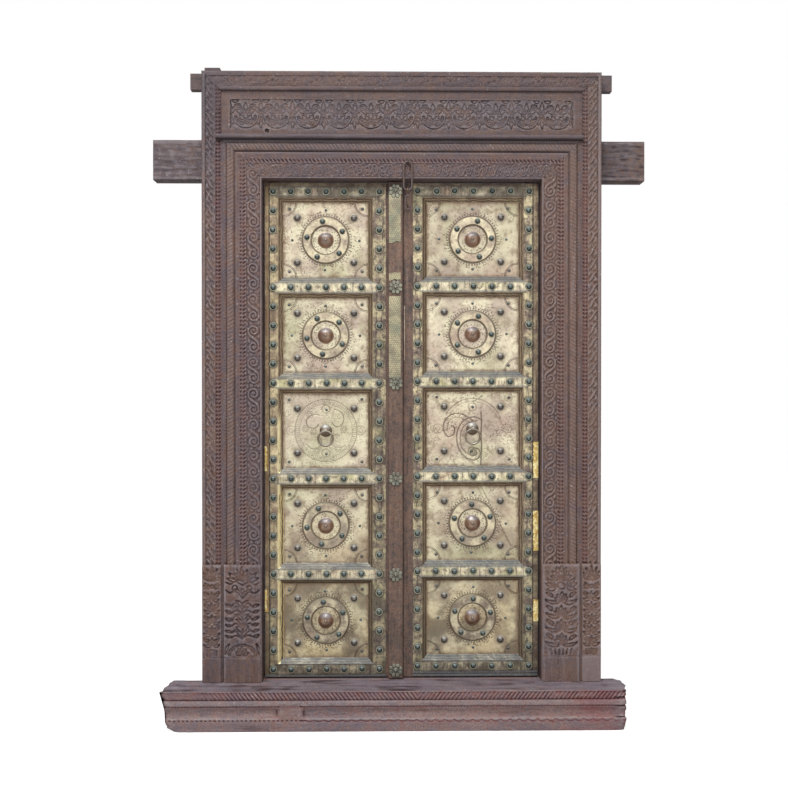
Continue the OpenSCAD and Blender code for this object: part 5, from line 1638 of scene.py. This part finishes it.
def add_cover_rosettes():
    low, high = box_mm("cover_rosettes")
    x = (low[0] + high[0]) / 2
    radius = (high[0] - low[0]) / 2
    y = high[1]
    petal = lathe(((6.4, 0), (6.4, 2.4), (5.4, 3.6), (3.0, 4.0), (0, 3.6)), 14)
    middle = lathe(((8.0, 0), (8.0, 3.4), (7.0, 4.6), (5.6, 4.2), (5.0, 5.6), (3.0, 8.0), (0, 8.8)), 24)
    plate = lathe(((radius - 5, 0), (radius - 5, 1.2), (radius - 7, 1.6), (0, 1.6)), 32)
    hole = lathe(((2.9, 1.0), (2.9, 1.9), (2.6, 2.0), (0, 2.0)), 10)
    shells, holes = [], []
    for z in leaf_places("left")["rails"]:
        shells.append(placed(plate, (x, y, z)))
        shells.append(placed(middle, (x, y, z)))
        for k in range(8):
            a = math.radians(45 * k + 20)
            at = (x + (radius - 6.4) * math.cos(a), y, z + (radius - 6.4) * math.sin(a))
            shells.append(placed(petal, at))
            a += math.radians(22.5)
            holes.append(placed(hole, (x + 12.2 * math.cos(a), y, z + 12.2 * math.sin(a))))
    add_turned("cover_rosettes_chased", shells, rosette_brass, "left_leaf", ["cover_rosettes"])
    add_piece("cover_rosette_holes", joined(holes), iron, "left_leaf")


WORN_LINE = (8.5, 1158.0, 1334.0)


def add_worn_line():
    """Pale splintered line along the right leaf's bare meeting edge."""
    x, low, high = WORN_LINE
    y = box_mm("right_meeting_stile")[0][1]
    u, z = carved_grid(np.linspace(-1.6, 1.6, 5), low, high, 3.0)
    width = 0.35 + 0.65 * noise(z, z, 14.0, 71)
    add_piece("worn_line", shell_of_grid(x + u * width, y - 0.25 + 0 * u, z, y + 1.0), pale_wood,
              "right_leaf")


LOOK_OF_SLOT = {
    "carved_wood": plain_wood,
    "sill_wood": plain_wood,
    "leaf_wood": leaf_wood,
    "iron": iron,
}


def dress(name, look):
    """Gives a CAD node that still shows its material."""
    nodes[name].data.materials.clear()
    nodes[name].data.materials.append(look)


def dress_plain_nodes():
    """Gives the CAD nodes that still show, and have no look of their own, the look of their slot."""
    for part in frame["record"]["subparts"]:
        look = LOOK_OF_SLOT.get(part["material_slot"])
        if look and not nodes[part["node"]].hide_render:
            if not part["node"].endswith("pull_ring"):
                dress(part["node"], look)


def build_frame():
    for side in SIDES:
        add_inner_jamb(side)
        add_outer_jamb(side)
    add_head()
    add_head_timber()
    add_outer_head()
    add_frieze()
    add_cornice()
    add_sill()


def build_leaves():
    ring_brass = ring_material()
    for side in SIDES:
        place = leaf_places(side)
        looks = [panel_material(side, place, medallion) for medallion in (False, True)]
        add_sheets(side, place, looks)
        add_studs(side, place)
        add_bosses(side, place)
        dress(side + "_cladding", clad_material(side, place))
        dress(side + "_rail_straps", strap_material(side, place))
        dress(side + "_edge_patches", patch_material(side))
        dress(side + "_boss_rings", ring_brass)
        dress(side + "_pull_boss", pull_brass)
        dress(side + "_pull_ring", pull_brass)
    add_cover_strip()
    add_cover_sheets()
    add_cover_rosettes()
    add_worn_line()


# Stage

CAMERA_AT = (-0.0740, -3.2025, 1.0780)
CAMERA_YAW = 0.0151
CAMERA_PITCH = -0.0091
CAMERA_LENS = 45.27
WORLD_LIGHT = 0.42
FLOOR_HALF = 14.0
FLOOR_GLOW = 0.8
WHITE = (1, 1, 1, 1)


def add_camera():
    data = bpy.data.cameras.new("camera")
    data.lens = CAMERA_LENS
    data.sensor_width = 36
    camera = add_object("camera", data)
    camera.location = CAMERA_AT
    camera.rotation_euler = (math.pi / 2 + CAMERA_PITCH, 0, -CAMERA_YAW)
    bpy.context.scene.camera = camera


def add_lamp(name, at, size, power):
    """Square lamp that looks at the middle of the door."""
    data = bpy.data.lights.new(name, "AREA")
    data.size = size
    data.energy = power
    lamp = add_object(name, data)
    lamp.location = at
    target = np.array((0, 0, 1.0)) - np.array(at)
    yaw = math.atan2(target[1], target[0])
    lamp.rotation_euler = (math.acos(-target[2] / np.linalg.norm(target)), 0, yaw - math.pi / 2)


def seen_directly(tree):
    """1 for rays that show the background: from the camera, a reflection or through glass."""
    path = add_node(tree, "LightPath").outputs
    total = path["Is Camera Ray"]
    for name in ("Is Glossy Ray", "Is Transmission Ray"):
        total = add_node(tree, "Math", {0: total, 1: path[name]}, operation="MAXIMUM").outputs[0]
    return total


def add_world():
    world = bpy.data.worlds.new("studio")
    bpy.context.scene.world = world
    world.use_nodes = True
    tree = world.node_tree
    background = tree.nodes["Background"].inputs
    background["Color"].default_value = WHITE
    light = {"Value": seen_directly(tree), "To Min": WORLD_LIGHT, "To Max": 1.0}
    put(tree, background["Strength"], add_node(tree, "MapRange", light).outputs["Result"])


def add_floor():
    mesh = bpy.data.meshes.new("floor")
    corners = [(FLOOR_HALF * i, FLOOR_HALF * j, 0) for i, j in ((-1, -1), (1, -1), (1, 1), (-1, 1))]
    mesh.from_pydata(corners, [], [(0, 1, 2, 3)])
    floor = add_object("floor", mesh)
    g = Graph("floor", None, 1.0)
    g.shader["Base Color"].default_value = (0.5, 0.5, 0.5, 1)
    g.shader["Specular IOR Level"].default_value = 0.0
    g.shader["Emission Color"].default_value = WHITE
    put(g.tree, g.shader["Emission Strength"], g.times(seen_directly(g.tree), FLOOR_GLOW))
    mesh.materials.append(g.material)


def build_stage():
    bpy.context.scene.view_settings.view_transform = "Standard"
    add_camera()
    add_world()
    add_floor()
    add_lamp("key", (-0.9, -2.6, 4.8), 2.4, 190)
    add_lamp("fill", (1.8, -4.2, 2.0), 3.0, 30)


build_frame()
build_leaves()
dress_plain_nodes()
build_stage()
